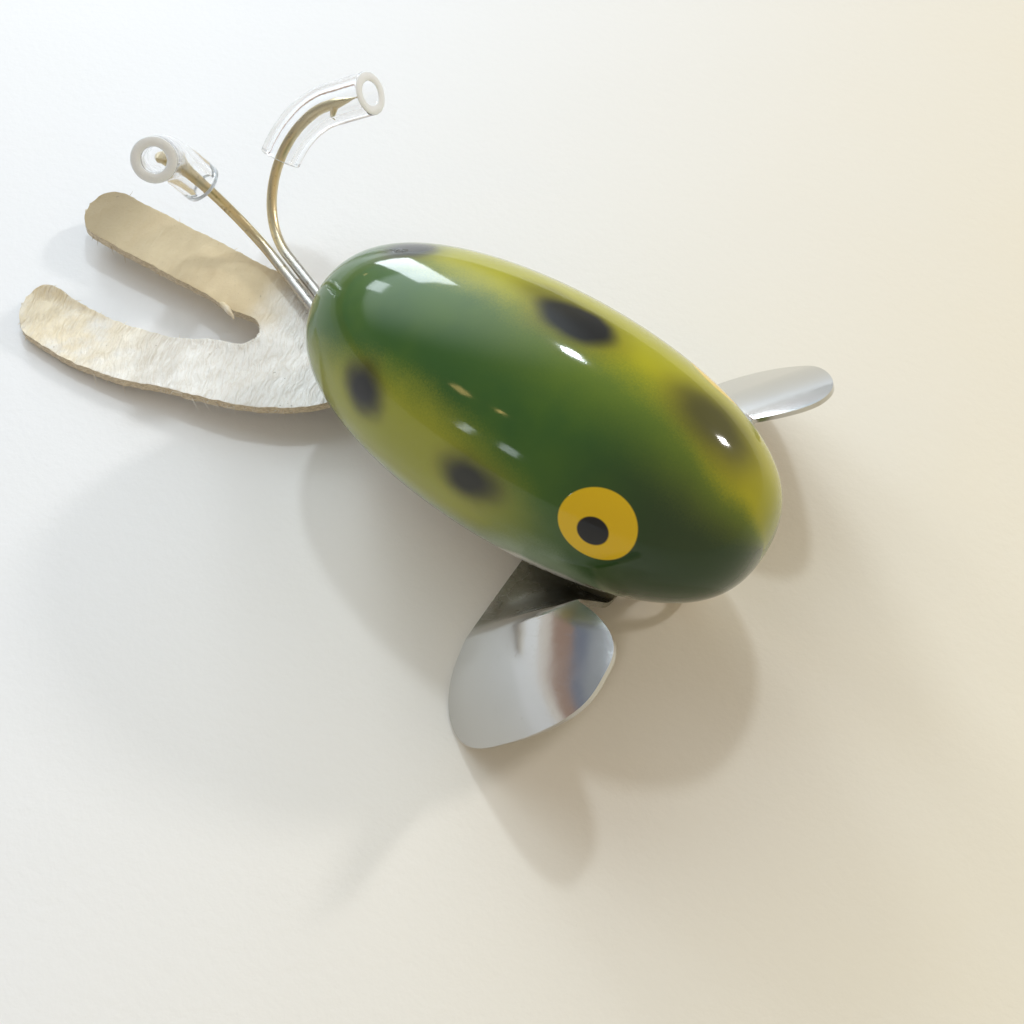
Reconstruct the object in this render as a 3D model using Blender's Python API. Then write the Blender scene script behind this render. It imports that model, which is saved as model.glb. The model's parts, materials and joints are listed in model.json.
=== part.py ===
"""Frog-finish surface lure: a turned wooden body on a stamped plate with two cupped wings,
a double hook with clear tube guards and a forked leather tail that both swing on one screw.

X runs forward to the nose, Y to the lure's left, Z up from the table it lies on.
"""
import math

import bmesh
import bpy
from mathutils import Matrix, Vector

MM = 0.001
LEFT, RIGHT = 1, -1           # sides of the lure, as signs of Y
SHARP_ANGLE = 40.0           # degrees, edges that stay crisp in the shading

# Turned body
BODY_LENGTH = 52.0
BODY_DIAMETER = 25.4
BODY_BLUNTNESS = 0.75        # exponent of the turned profile: 1 is an ellipse, less is blunter
BELLY_CLEARANCE = 0.9        # table to the lowest point of the round belly, before the flat is cut
NOSE_UP = 2.4                # degrees
BELLY_FLAT = 2.0             # depth of the flat planed on the belly
BODY_MIDDLE_X = 19.8         # sets the origin under the middle of the whole lure

# Wing plate, one stamping: a belly tab, and on each side a web that folds into a domed blade
SHEET = 0.5
TAB_REAR = 21.0              # rear and front edges of the tab, measured back from the nose
TAB_FRONT = 11.0
TAB_HALF_WIDTH = 6.0
TAB_FOLD = 0.9               # strip along the tab's sides where the sheet starts to bend
WEB_BEND = 0.3               # share of the web that is bent, next to the tab; the rest is straight
BLADE_LENGTH = 20.6
BLADE_WIDTH = 14.7
BLADE_FROM_NOSE = 12.8
BLADE_OUT = 7.1              # blade middle outboard of the body's side
BLADE_RISE = 45.0            # degrees, heel low at the back, toe high in front
BLADE_DROOP = 20.0           # degrees, outer edge down
BLADE_TAPER = 0.34           # heel wider and toe narrower by this share
BLADE_SQUARENESS = 2.6       # exponent of the blade's outline: 2 is an ellipse
CROWN_ACROSS = 1.7           # how far the blade's side edges drop from its middle line
TOE_CURL = 1.0               # how far the toe bends over, one half length past the start of the bend
TOE_FROM = 0.17              # start of the bend, as a share of the half length behind the middle
TOE_SLANT = 0.5              # slant of the bend's line, farther back on the body's side

# Wood screws
GAP = 0.25                   # between stacked pieces
HOLE_PLAY = 0.3              # radial, round each shank
PLATE_SCREW_SHANK = 1.8
PLATE_SCREW_HEAD = 3.8
PLATE_SCREW_HEAD_HEIGHT = 1.1
PLATE_SCREW_GRIP = 8.0
PLATE_SCREW_INSET = 2.1      # from the tab's rear and front edges
HEAD_MARGIN = 0.5            # flat left clear beside the heads
TAIL_SCREW_SHANK = 2.2
TAIL_SCREW_HEAD = 5.2
TAIL_SCREW_FACE = 3.0        # flat of the head that it can stand on
TAIL_SCREW_HEAD_HEIGHT = 1.5
TAIL_SCREW_GRIP = 8.5        # held in the wood
TAIL_SCREW_INSET = 3.5       # from the tail end of the body
WASHER_DIAMETER = 7.2
WASHER_THICK = 0.5
SEAT_PLAY = 0.5              # round what turns in the recess under the tail

# Lead plug in the belly
WEIGHT_DIAMETER = 7.0
WEIGHT_LENGTH = 5.0
WEIGHT_FROM_TAIL = 21.0

# Screw eye that the line is tied to, under the chin
EYE_WIRE = 1.0
EYE_RING = 1.7               # radius of the ring's wire centre
EYE_SHANK = 7.0
EYE_START = 26.0             # degrees round the ring where the stem has run into it
EYE_INSET = 7.0              # from the nose

# Double hook, bent from one wire
HOOK_WIRE = 1.2
HOOK_LIFT = 0.5              # above the leather
HOOK_SHANK = 18.4
HOOK_SHANK_GAP = 0.3         # between the two shanks
HOOK_BEND = 9.46             # radius of each bend
HOOK_BEND_ANGLE = 133.5      # degrees
HOOK_POINT = 3.9             # straight run to the point
HOOK_SPLAY_LEFT = 43.8       # degrees from upright
HOOK_SPLAY_RIGHT = 28.6
HOOK_YAW = 18.5              # degrees to the left, as it lies
POINT_TAPER = 3.2
BARB_FROM_POINT = 3.0
BARB_REACH = 1.0             # from the wire's centre
BARB_ROOT = 0.5              # thickness where it is cut from the wire
BARB_LEAN = 1.0              # its tip's run back along the wire
SHARP_END = 0.08             # radius left on points and barbs

# Clear tube guards on the hook points
GUARD_DIAMETER = 4.7
GUARD_BORE = 2.6
GUARD_LENGTH = 15.5
GUARD_PAST_POINT = 2.0

# Forked leather tail
LEATHER = 1.2
TAIL_LENGTH = 41.8           # screw to the tip of a leg
TAIL_EAR = 3.9               # radius of the rounded end at the screw
TAIL_NOTCH = 13.4            # screw to the bottom of the fork
TAIL_NOTCH_WIDTH = 4.0
TAIL_LEG_WIDTH = 7.2
TAIL_SPREAD_LEFT = 9.0       # degrees, each leg outward from the fork
TAIL_SPREAD_RIGHT = 16.0
TAIL_BOW_RIGHT = 8.6         # how far the right leg's tip curls back inward
TAIL_FLARE = 4.4             # length over which the ear widens to the fork
TAIL_CORE = 0.45             # share of the ear's half width that leads into the fork
TAIL_BLUNT = 0.12            # share of a leg's half width left straight at its tip
TAIL_SAG = 0.4               # middle of the legs below the screw's end
TAIL_TIP_LEFT = 2.9          # heights of the tips' middle
TAIL_TIP_RIGHT = 0.9
TAIL_YAW = 14.3              # degrees to the right, as it lies

# Places that follow from the sizes above
HALF_LENGTH = BODY_LENGTH / 2
RADIUS = BODY_DIAMETER / 2
AXIS_HEIGHT = BELLY_CLEARANCE + RADIUS
NOSE_X = BODY_MIDDLE_X + HALF_LENGTH
TAIL_X = BODY_MIDDLE_X - HALF_LENGTH
FLAT_Z = BELLY_CLEARANCE + BELLY_FLAT
PIVOT_X = TAIL_X + TAIL_SCREW_INSET
LOWER_WASHER_Z = TAIL_SCREW_HEAD_HEIGHT + GAP
LEATHER_Z = LOWER_WASHER_Z + WASHER_THICK + GAP + LEATHER / 2
HOOK_Z = LEATHER_Z + LEATHER / 2 + HOOK_LIFT + HOOK_WIRE / 2
UPPER_WASHER_Z = HOOK_Z + HOOK_WIRE / 2 + GAP
SEAT_Z = UPPER_WASHER_Z + WASHER_THICK + GAP
LOOP_RADIUS = TAIL_SCREW_SHANK / 2 + HOLE_PLAY + HOOK_WIRE / 2
SEAT_RADIUS = max(TAIL_EAR, WASHER_DIAMETER / 2, LOOP_RADIUS + HOOK_WIRE / 2) + SEAT_PLAY
TAB_Z = FLAT_Z - GAP - SHEET / 2
LEG_OUT = (TAIL_NOTCH_WIDTH + TAIL_LEG_WIDTH) / 2
LEG_ROOT = TAIL_NOTCH + TAIL_NOTCH_WIDTH / 2


def new_material(name, colour, roughness, metallic=0.0, alpha=1.0):
    material = bpy.data.materials.new(name)
    material.use_nodes = True
    shader = material.node_tree.nodes["Principled BSDF"]
    shader.inputs["Base Color"].default_value = (*colour, 1.0)
    shader.inputs["Roughness"].default_value = roughness
    shader.inputs["Metallic"].default_value = metallic
    shader.inputs["Alpha"].default_value = alpha
    return material


def new_object(name, bm, material=None, matrix=Matrix.Identity(4)):
    """Link a node, with its sizes turned from millimetres to metres."""
    mesh = bpy.data.meshes.new(name)
    bmesh.ops.recalc_face_normals(bm, faces=bm.faces)
    bm.to_mesh(mesh)
    bm.free()
    mesh.transform(Matrix.Scale(MM, 4))
    mesh.shade_smooth()
    mesh.set_sharp_from_angle(angle=math.radians(SHARP_ANGLE))
    node = bpy.data.objects.new(name, mesh)
    bpy.context.scene.collection.objects.link(node)
    place = matrix.copy()
    place.translation *= MM
    node.matrix_world = place
    if material:
        mesh.materials.append(material)
    return node


def turned(profile, sides):
    """Turn a list of (radius, height) about Z; a zero radius closes to a point."""
    bm = bmesh.new()
    rings = []
    for radius, height in profile:
        count = sides if radius > 0 else 1
        rings.append([bm.verts.new((radius * math.cos(math.tau * i / sides),
                                    radius * math.sin(math.tau * i / sides), height))
                      for i in range(count)])
    for low, high in zip(rings, rings[1:]):
        for i in range(sides):
            corners = [low[i % len(low)], low[(i + 1) % len(low)],
                       high[(i + 1) % len(high)], high[i % len(high)]]
            bm.faces.new(list(dict.fromkeys(corners)))
    return bm


def tube_rings(bm, points, radii, sides):
    """Rings of vertices along a path, each turned as little as possible from the one before."""
    rings = []
    normal = None
    for i, point in enumerate(points):
        ahead = points[min(i + 1, len(points) - 1)] - points[max(i - 1, 0)]
        ahead.normalize()
        if normal is None:
            normal = ahead.orthogonal().normalized()
        normal = (normal - ahead * normal.dot(ahead)).normalized()
        side = ahead.cross(normal)
        rings.append([bm.verts.new(point + radii[i] * (math.cos(math.tau * k / sides) * normal
                                                       + math.sin(math.tau * k / sides) * side))
                      for k in range(sides)])
    return rings


def join_rings(bm, first, second):
    count = len(first)
    for k in range(count):
        bm.faces.new((first[k], first[(k + 1) % count], second[(k + 1) % count], second[k]))


def swept(points, radii, sides):
    """Solid round bar along a path, capped at both ends."""
    bm = bmesh.new()
    rings = tube_rings(bm, points, radii, sides)
    for first, second in zip(rings, rings[1:]):
        join_rings(bm, first, second)
    bm.faces.new(rings[0])
    bm.faces.new(list(reversed(rings[-1])))
    return bm


def piped(points, outer, bore, sides):
    """Open tube along a path, with square-cut ends."""
    bm = bmesh.new()
    outside = tube_rings(bm, points, [outer] * len(points), sides)
    inside = tube_rings(bm, points, [bore] * len(points), sides)
    for first, second in zip(outside, outside[1:]):
        join_rings(bm, first, second)
    for first, second in zip(inside, inside[1:]):
        join_rings(bm, second, first)
    join_rings(bm, inside[0], outside[0])
    join_rings(bm, outside[-1], inside[-1])
    return bm


def combine(node, tool_bm, operation, matrix=Matrix.Identity(4)):
    """Cut a tool out of a node, or weld it on; the tool stays in the file as a wire outline."""
    tool = new_object(f"{node.name}_tool_{len(node.modifiers)}", tool_bm, None, matrix)
    tool.hide_render = True
    tool.display_type = "WIRE"
    change = node.modifiers.new(tool.name, "BOOLEAN")
    change.operation = operation
    change.solver = "EXACT"
    change.object = tool


def drilled(node, diameter, low, high, matrix, sides=20):
    radius = diameter / 2
    combine(node, turned([(0, low), (radius, low), (radius, high), (0, high)], sides), "DIFFERENCE", matrix)


def at(x, y=0.0, z=0.0):
    return Matrix.Translation((x, y, z))


def body_radius(x):
    """Radius of the turned body at a place along the lure."""
    share = (x - BODY_MIDDLE_X) / HALF_LENGTH
    return RADIUS * max(0.0, 1 - share * share) ** (BODY_BLUNTNESS / 2)


def underside(x):
    """Height of the round belly at a place along the lure."""
    return AXIS_HEIGHT + (x - BODY_MIDDLE_X) * math.tan(math.radians(NOSE_UP)) - body_radius(x)


for old in list(bpy.data.objects):
    bpy.data.objects.remove(old, do_unlink=True)

PAINT = new_material("painted_wood", (0.10, 0.22, 0.06), 0.12)
LEAD = new_material("lead", (0.22, 0.22, 0.24), 0.6, 0.9)
SHEET_METAL = new_material("polished_sheet", (0.78, 0.77, 0.75), 0.12, 1.0)
BRASS = new_material("brass", (0.62, 0.46, 0.20), 0.3, 1.0)
WIRE = new_material("tinned_wire", (0.45, 0.40, 0.33), 0.28, 1.0)
CLEAR = new_material("clear_tube", (0.90, 0.92, 0.93), 0.08, 0.0, 0.35)
LEATHER_FINISH = new_material("leather", (0.72, 0.64, 0.50), 0.7)

# Body: turned egg, tipped nose up, with a planed belly and a recess under the tail for the pivot stack
STATIONS = 30
profile = [(RADIUS * math.sin(math.pi * i / STATIONS) ** BODY_BLUNTNESS,
            -HALF_LENGTH * math.cos(math.pi * i / STATIONS)) for i in range(STATIONS + 1)]
profile[0], profile[-1] = (0.0, -HALF_LENGTH), (0.0, HALF_LENGTH)
body = new_object("body", turned(profile, 56), PAINT,
                  at(BODY_MIDDLE_X, 0, AXIS_HEIGHT) @ Matrix.Rotation(math.radians(90 - NOSE_UP), 4, "Y"))
plane = bmesh.new()
bmesh.ops.create_cube(plane, size=1.0, matrix=at(BODY_MIDDLE_X, 0, FLAT_Z - BODY_DIAMETER / 2)
                      @ Matrix.Diagonal((BODY_LENGTH * 1.2, BODY_DIAMETER * 1.2, BODY_DIAMETER, 1)))
combine(body, plane, "DIFFERENCE")
drilled(body, 2 * SEAT_RADIUS, -1, SEAT_Z, at(PIVOT_X), 40)
drilled(body, TAIL_SCREW_SHANK + 2 * HOLE_PLAY, -1, SEAT_Z + TAIL_SCREW_GRIP + HOLE_PLAY, at(PIVOT_X))

# Lead plug, flush with the planed belly
weight_x = TAIL_X + WEIGHT_FROM_TAIL
drilled(body, WEIGHT_DIAMETER + 2 * HOLE_PLAY, -1, FLAT_Z + WEIGHT_LENGTH + HOLE_PLAY, at(weight_x), 28)
new_object("belly_weight", turned([(0, 0), (WEIGHT_DIAMETER / 2, 0), (WEIGHT_DIAMETER / 2, WEIGHT_LENGTH),
                                   (0, WEIGHT_LENGTH)], 28), LEAD, at(weight_x, 0, FLAT_Z))

# Wing plate: the blade in its own frame, then the web and the belly tab, made as one sheet
tab_rear_x, tab_front_x = NOSE_X - TAB_REAR, NOSE_X - TAB_FRONT
SECTOR = 12                  # steps round a quarter of the blade
RINGS = 6
WEB_ROWS = 5
QUARTER_TURN = [math.radians(angle) for angle in (0, 30, 60, 90)]


def blade_frame(side):
    """Blade axes: along from heel to toe, across toward the body, out of the crown."""
    rise, droop = math.radians(BLADE_RISE), math.radians(BLADE_DROOP)
    along = Vector((math.cos(rise), 0, math.sin(rise)))
    square = Vector((-math.sin(rise), 0, math.cos(rise)))
    inward = Vector((0, -side, 0))
    across = math.cos(droop) * inward + math.sin(droop) * square
    crown = math.cos(droop) * square - math.sin(droop) * inward
    return along, across, crown


def blade_edge(angle):
    """Outline point (u, v): a tapered superellipse, cut straight where the web folds off it."""
    c, s = math.cos(angle), math.sin(angle)
    half_long, half_wide = BLADE_LENGTH / 2, BLADE_WIDTH / 2
    if c < 0 < s:
        run = -c + s
        return half_long * c / run, half_wide * s / run
    power = 2 / BLADE_SQUARENESS
    u = half_long * math.copysign(abs(c) ** power, c)
    v = half_wide * (1 - BLADE_TAPER * u / half_long) * math.copysign(abs(s) ** power, s)
    return u, v


def blade_shares(u, v):
    """A blade point as shares of the half length and half width, and how far it lies past the bend's line."""
    p, q = 2 * u / BLADE_LENGTH, 2 * v / BLADE_WIDTH
    return p, q, max(0.0, p + TOE_SLANT * q + TOE_FROM)


def blade_point(side, u, v):
    """Crowned across, with the toe bent over past a slanted line."""
    along, across, crown = blade_frame(side)
    p, q, bend = blade_shares(u, v)
    drop = CROWN_ACROSS * q * q + TOE_CURL * bend * bend
    return along * u + across * v - crown * drop


def blade_low(u, v):
    """Lowest height of the sheet at an edge point, below the blade's middle."""
    along, across, crown = blade_frame(LEFT)
    p, q, bend = blade_shares(u, v)
    slope_along = 4 * TOE_CURL * bend / BLADE_LENGTH
    slope_across = 4 * (CROWN_ACROSS * q + TOE_CURL * TOE_SLANT * bend) / BLADE_WIDTH
    normal = (crown + along * slope_along + across * slope_across).normalized()
    return blade_point(LEFT, u, v).z - abs(normal.z) * SHEET / 2


blade_angles = [math.pi / 2 + math.pi / 2 * i / SECTOR for i in range(4 * SECTOR)]
heel_depth = min(blade_low(*blade_edge(angle)) for angle in blade_angles)
plate = bmesh.new()
tab_xs = [tab_front_x + (tab_rear_x - tab_front_x) * i / SECTOR for i in range(SECTOR + 1)]
screw_strip = PLATE_SCREW_HEAD / 2 + HEAD_MARGIN
tab_rows = [[plate.verts.new((x, y, TAB_Z)) for x in tab_xs]
            for y in (-TAB_HALF_WIDTH, TAB_FOLD - TAB_HALF_WIDTH, -screw_strip,
                      screw_strip, TAB_HALF_WIDTH - TAB_FOLD, TAB_HALF_WIDTH)]
for first, second in zip(tab_rows, tab_rows[1:]):
    for i in range(SECTOR):
        plate.faces.new((first[i], first[i + 1], second[i + 1], second[i]))
for side, tab_edge in ((RIGHT, tab_rows[0]), (LEFT, tab_rows[-1])):
    middle = Vector((NOSE_X - BLADE_FROM_NOSE, side * (RADIUS + BLADE_OUT), -heel_depth))
    crown_vert = plate.verts.new(middle)
    rings = [[plate.verts.new(middle + blade_point(side, u * ring / RINGS, v * ring / RINGS))
              for u, v in map(blade_edge, blade_angles)] for ring in range(1, RINGS + 1)]
    count = len(blade_angles)
    for i in range(count):
        plate.faces.new((crown_vert, rings[0][i], rings[0][(i + 1) % count]))
    for first, second in zip(rings, rings[1:]):
        for i in range(count):
            plate.faces.new((first[i], first[(i + 1) % count], second[(i + 1) % count], second[i]))
    fold = rings[-1][:SECTOR + 1]
    row = tab_edge
    for step in range(1, WEB_ROWS + 1):
        t = step / WEB_ROWS
        if step < WEB_ROWS:
            bent = t * t / (2 * WEB_BEND) if t < WEB_BEND else t - WEB_BEND / 2
            lift = bent / (1 - WEB_BEND / 2)
            outer = [plate.verts.new((start.co.x + (end.co.x - start.co.x) * t,
                                      start.co.y + (end.co.y - start.co.y) * t,
                                      start.co.z + (end.co.z - start.co.z) * lift))
                     for start, end in zip(tab_edge, fold)]
        else:
            outer = fold
        for i in range(SECTOR):
            plate.faces.new((row[i], row[i + 1], outer[i + 1], outer[i]))
        row = outer
wing_plate = new_object("wing_plate", plate, SHEET_METAL)
thicken = wing_plate.modifiers.new("sheet", "SOLIDIFY")
thicken.thickness = SHEET * MM
thicken.offset = 0.0

# Two wood screws through the tab
plate_screw_top = TAB_Z - SHEET / 2 - GAP
head, shank = PLATE_SCREW_HEAD / 2, PLATE_SCREW_SHANK / 2
for place, x in (("rear", tab_rear_x + PLATE_SCREW_INSET), ("front", tab_front_x - PLATE_SCREW_INSET)):
    drilled(wing_plate, PLATE_SCREW_SHANK + 2 * HOLE_PLAY, 0, FLAT_Z + 1, at(x), 16)
    drilled(body, PLATE_SCREW_SHANK + 2 * HOLE_PLAY, 0, FLAT_Z + PLATE_SCREW_GRIP + HOLE_PLAY, at(x), 16)
    tip = FLAT_Z + PLATE_SCREW_GRIP - plate_screw_top
    dome = [(head * math.sin(angle), -PLATE_SCREW_HEAD_HEIGHT * math.cos(angle)) for angle in QUARTER_TURN]
    new_object(f"plate_screw_{place}",
               turned([*dome, (shank, 0), (shank, tip - 2 * shank), (0, tip)], 16),
               BRASS, at(x, 0, plate_screw_top))

# Line tie: one wire, screwed up into the chin and curled into a ring
eye_x = NOSE_X - EYE_INSET
eye_drop = EYE_RING + EYE_WIRE / 2 + GAP
eye_z = underside(eye_x) - eye_drop
eye_start, eye_steps = math.radians(EYE_START), 22
opening = math.asin((EYE_WIRE + HOLE_PLAY) / EYE_RING)
eye_turn = math.tau - opening - eye_start
curled = [Vector((EYE_RING * math.sin(angle), 0, EYE_RING * math.cos(angle)))
          for angle in (eye_start + eye_turn * i / eye_steps for i in range(eye_steps + 1))]
stem_top, stem_end = Vector((0, 0, eye_drop + EYE_SHANK)), Vector((0, 0, EYE_RING + EYE_WIRE))
elbow = Vector((0, 0, curled[0].z + curled[0].x * math.tan(eye_start)))
neck = [stem_end.lerp(elbow, t).lerp(elbow.lerp(curled[0], t), t) for t in (0.25, 0.5, 0.75)]
eye_path = [stem_top, stem_end, *neck, *curled]
new_object("line_tie", swept(eye_path, [EYE_WIRE / 2] * len(eye_path), 10), BRASS, at(eye_x, 0, eye_z))
drilled(body, EYE_WIRE + 2 * HOLE_PLAY, 0, underside(eye_x) + EYE_SHANK + HOLE_PLAY, at(eye_x), 16)

# Pivot stack under the tail: screw, washer, leather, hook loop, washer, wood
face, head, shank = TAIL_SCREW_FACE / 2, TAIL_SCREW_HEAD / 2, TAIL_SCREW_SHANK / 2
tip = SEAT_Z + TAIL_SCREW_GRIP
pan = [(face + (head - face) * math.sin(angle), TAIL_SCREW_HEAD_HEIGHT * (1 - math.cos(angle)))
       for angle in QUARTER_TURN]
new_object("tail_screw", turned([(0, 0), *pan, (shank, TAIL_SCREW_HEAD_HEIGHT), (shank, tip - 2 * shank),
                                 (0, tip)], 24), BRASS, at(PIVOT_X))
for name, z in (("lower_washer", LOWER_WASHER_Z), ("upper_washer", UPPER_WASHER_Z)):
    rim, bore = WASHER_DIAMETER / 2, TAIL_SCREW_SHANK / 2 + HOLE_PLAY
    ring = piped([Vector((0, 0, 0)), Vector((0, 0, WASHER_THICK))], rim, bore, 28)
    new_object(name, ring, BRASS, at(PIVOT_X, 0, z))

# Double hook: point, bend and shank on the left, the loop round the screw, and the same back on the right
hook_place = at(PIVOT_X, 0, HOOK_Z) @ Matrix.Rotation(math.radians(-HOOK_YAW), 4, "Z")
wire = HOOK_WIRE / 2
shank_out = wire + HOOK_SHANK_GAP / 2
loop_turn = math.asin(shank_out / LOOP_RADIUS)


def hook_branch(side, splay):
    """Centre line of one branch from the loop to its point, in the hook's own frame."""
    up = Vector((0, side * math.sin(splay), math.cos(splay)))
    back = Vector((-1, 0, 0))
    start = Vector((0, side * shank_out, 0))
    path = [start + back * (LOOP_RADIUS * math.cos(loop_turn) + wire)]
    path += [start + back * (HOOK_SHANK * i / 4) for i in range(1, 4)]
    end_angle = math.radians(HOOK_BEND_ANGLE)
    steps = 20
    path += [start + back * (HOOK_SHANK + HOOK_BEND * math.sin(end_angle * i / steps))
             + up * (HOOK_BEND * (1 - math.cos(end_angle * i / steps))) for i in range(steps + 1)]
    forward = back * math.cos(end_angle) + up * math.sin(end_angle)
    elbow = path[-1]
    path += [elbow + forward * (HOOK_POINT * i / 4) for i in range(1, 5)]
    inside = (up * math.cos(end_angle) - back * math.sin(end_angle)).normalized()
    return path, forward, inside


def wire_radius(path, i):
    """Full wire, drawn to a point at the end of a branch."""
    left = sum((path[k + 1] - path[k]).length for k in range(i, len(path) - 1))
    return max(SHARP_END, wire * min(1.0, left / POINT_TAPER))


branches = {"left": hook_branch(1, math.radians(HOOK_SPLAY_LEFT)),
            "right": hook_branch(-1, math.radians(HOOK_SPLAY_RIGHT))}
left, right = branches["left"][0], branches["right"][0]
loop = [Vector((-LOOP_RADIUS * math.cos(angle), LOOP_RADIUS * math.sin(angle), 0))
        for angle in (loop_turn + (math.tau - 2 * loop_turn) * i / 24 for i in range(25))]
hook_path = list(reversed(left)) + loop + right
hook_radii = [wire_radius(left, i) for i in reversed(range(len(left)))] + [wire] * len(loop)
hook_radii += [wire_radius(right, i) for i in range(len(right))]
double_hook = new_object("double_hook", swept(hook_path, hook_radii, 10), WIRE, hook_place)
for path, forward, inside in branches.values():
    root = path[-1] - forward * BARB_FROM_POINT
    barb = [root, root + inside * BARB_REACH - forward * BARB_LEAN]
    combine(double_hook, swept(barb, [BARB_ROOT / 2, SHARP_END], 6), "UNION", hook_place)


def guard_path(path, forward):
    """Stretch of a branch that its tube covers, carried on past the point."""
    line = [path[-1] + forward * GUARD_PAST_POINT]
    left_over = GUARD_LENGTH - GUARD_PAST_POINT
    here = path[-1]
    line.append(here)
    for point in reversed(path[:-1]):
        step = (point - here).length
        if step >= left_over:
            line.append(here.lerp(point, left_over / step))
            break
        line.append(point)
        here, left_over = point, left_over - step
    return line


for side, (path, forward, inside) in branches.items():
    new_object(f"tube_guard_{side}", piped(guard_path(path, forward), GUARD_DIAMETER / 2, GUARD_BORE / 2, 18),
               CLEAR, hook_place)

# Leather tail: sections across the ear and the fork, then two legs with rounded tips, made as one sheet
tail_place = at(PIVOT_X, 0, LEATHER_Z) @ Matrix.Rotation(math.radians(TAIL_YAW), 4, "Z")
half_leg = TAIL_LEG_WIDTH / 2


def ear_half_width(s):
    """Half width of the leather from its round end at the screw to the fork."""
    if s < 0:
        return math.sqrt(max(0.0, TAIL_EAR ** 2 - s * s))
    full = LEG_OUT + half_leg
    return TAIL_EAR + (full - TAIL_EAR) * (1 - math.exp(-s / TAIL_FLARE))


def leg_middle(side, s):
    """Sideways place of a leg's centre line: both spread from the fork, and the right one bows back in."""
    run = s - LEG_ROOT
    if side > 0:
        return LEG_OUT + run * math.tan(math.radians(TAIL_SPREAD_LEFT))
    bow = TAIL_BOW_RIGHT * (run / (TAIL_LENGTH - LEG_ROOT)) ** 2
    return -LEG_OUT - run * math.tan(math.radians(TAIL_SPREAD_RIGHT)) + bow


def leather_z(side, s):
    """Height of the sheet's middle above the screw's end of it, eased from the ear to the tips."""
    tip_height = (TAIL_TIP_LEFT if side > 0 else TAIL_TIP_RIGHT) - LEATHER_Z
    t = max(0.0, min(1.0, (s - TAIL_EAR) / (TAIL_LENGTH - TAIL_EAR)))
    return tip_height * t * t * (3 - 2 * t) - TAIL_SAG * math.sin(math.pi * t)


tail_bm = bmesh.new()
tail_columns = []
ear_stations = [-TAIL_EAR * math.cos(math.pi * i / 12) for i in range(1, 6)] + [0.0]
ear_stations += [TAIL_NOTCH * i / 6 for i in range(1, 7)]
for s in ear_stations:
    half = ear_half_width(s)
    inner = min(TAIL_NOTCH_WIDTH / 2, half * TAIL_CORE)
    bend = [inner * math.sin(math.pi * k / 8) for k in range(-4, 5)]
    ys = [-half, -(half + inner) / 2, *bend, (half + inner) / 2, half]
    share = max(0.0, s / TAIL_NOTCH) ** 2
    column = []
    for y in ys:
        reach = inner - math.sqrt(max(0.0, inner ** 2 - y * y)) if abs(y) < inner else inner
        back = s + share * reach
        weight = 0.5 + 0.5 * max(-1.0, min(1.0, y / inner))
        z = weight * leather_z(1, back) + (1 - weight) * leather_z(-1, back)
        column.append(tail_bm.verts.new((-back, y, z)))
    tail_columns.append(column)
for first, second in zip(tail_columns, tail_columns[1:]):
    for k in range(len(first) - 1):
        tail_bm.faces.new((first[k], first[k + 1], second[k + 1], second[k]))
for side, root in ((-1, tail_columns[-1][:3]), (1, tail_columns[-1][-3:])):
    round_from = TAIL_LENGTH - half_leg
    stations = [LEG_ROOT + (round_from - LEG_ROOT) * i / 9 for i in range(1, 10)]
    stations += [round_from + half_leg * math.sin(math.pi / 2 * i / 5) for i in range(1, 6)]
    previous = root
    for s in stations:
        past = max(0.0, (s - round_from) / half_leg)
        width = half_leg * max(TAIL_BLUNT, math.sqrt(max(0.0, 1 - past * past)))
        middle_y = leg_middle(side, s)
        current = [tail_bm.verts.new((-s, middle_y + width * k, leather_z(side, s))) for k in (-1, 0, 1)]
        for k in range(2):
            tail_bm.faces.new((previous[k], previous[k + 1], current[k + 1], current[k]))
        previous = current
tail = new_object("tail", tail_bm, LEATHER_FINISH, tail_place)
thicken = tail.modifiers.new("leather", "SOLIDIFY")
thicken.thickness = LEATHER * MM
thicken.offset = 0.0
drilled(tail, TAIL_SCREW_SHANK + 2 * HOLE_PLAY, -LEATHER * 2, LEATHER * 2, at(PIVOT_X, 0, LEATHER_Z), 20)
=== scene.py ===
"""Finish of a frog-painted surface lure: turned wooden body, stamped wings, double hook and leather tail."""
import json
import math

import bmesh
import bpy
import numpy as np
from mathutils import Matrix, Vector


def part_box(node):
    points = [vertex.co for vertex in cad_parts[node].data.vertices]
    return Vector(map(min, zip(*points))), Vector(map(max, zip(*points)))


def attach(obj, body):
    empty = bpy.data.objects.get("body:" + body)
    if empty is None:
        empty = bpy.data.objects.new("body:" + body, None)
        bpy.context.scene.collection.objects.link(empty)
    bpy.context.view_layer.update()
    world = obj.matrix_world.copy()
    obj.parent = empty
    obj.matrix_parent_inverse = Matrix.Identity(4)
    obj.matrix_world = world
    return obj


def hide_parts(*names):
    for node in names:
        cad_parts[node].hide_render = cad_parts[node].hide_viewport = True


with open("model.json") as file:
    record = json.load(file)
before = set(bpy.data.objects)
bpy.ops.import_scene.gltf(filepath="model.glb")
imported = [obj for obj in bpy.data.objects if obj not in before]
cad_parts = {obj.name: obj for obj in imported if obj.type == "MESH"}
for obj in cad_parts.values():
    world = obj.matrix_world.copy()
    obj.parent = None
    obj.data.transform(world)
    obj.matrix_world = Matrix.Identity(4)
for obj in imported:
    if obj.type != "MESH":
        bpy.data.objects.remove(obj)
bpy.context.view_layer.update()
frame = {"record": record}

# Body
# A wooden egg turned on a lathe, tipped nose up as it lies on its wings and tail screw.
# The belly is planed flat for the wing plate and bored away under the tail for the pivot stack.
# It is sprayed white, then yellow, green and black, has painted eyes and is dipped in clear lacquer.
MM = 0.001
BODY_LENGTH, BODY_RADIUS, BODY_BLUNTNESS = 51.94, 12.7, 0.75
BODY_ROWS, BODY_SIDES = 240, 320
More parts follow.
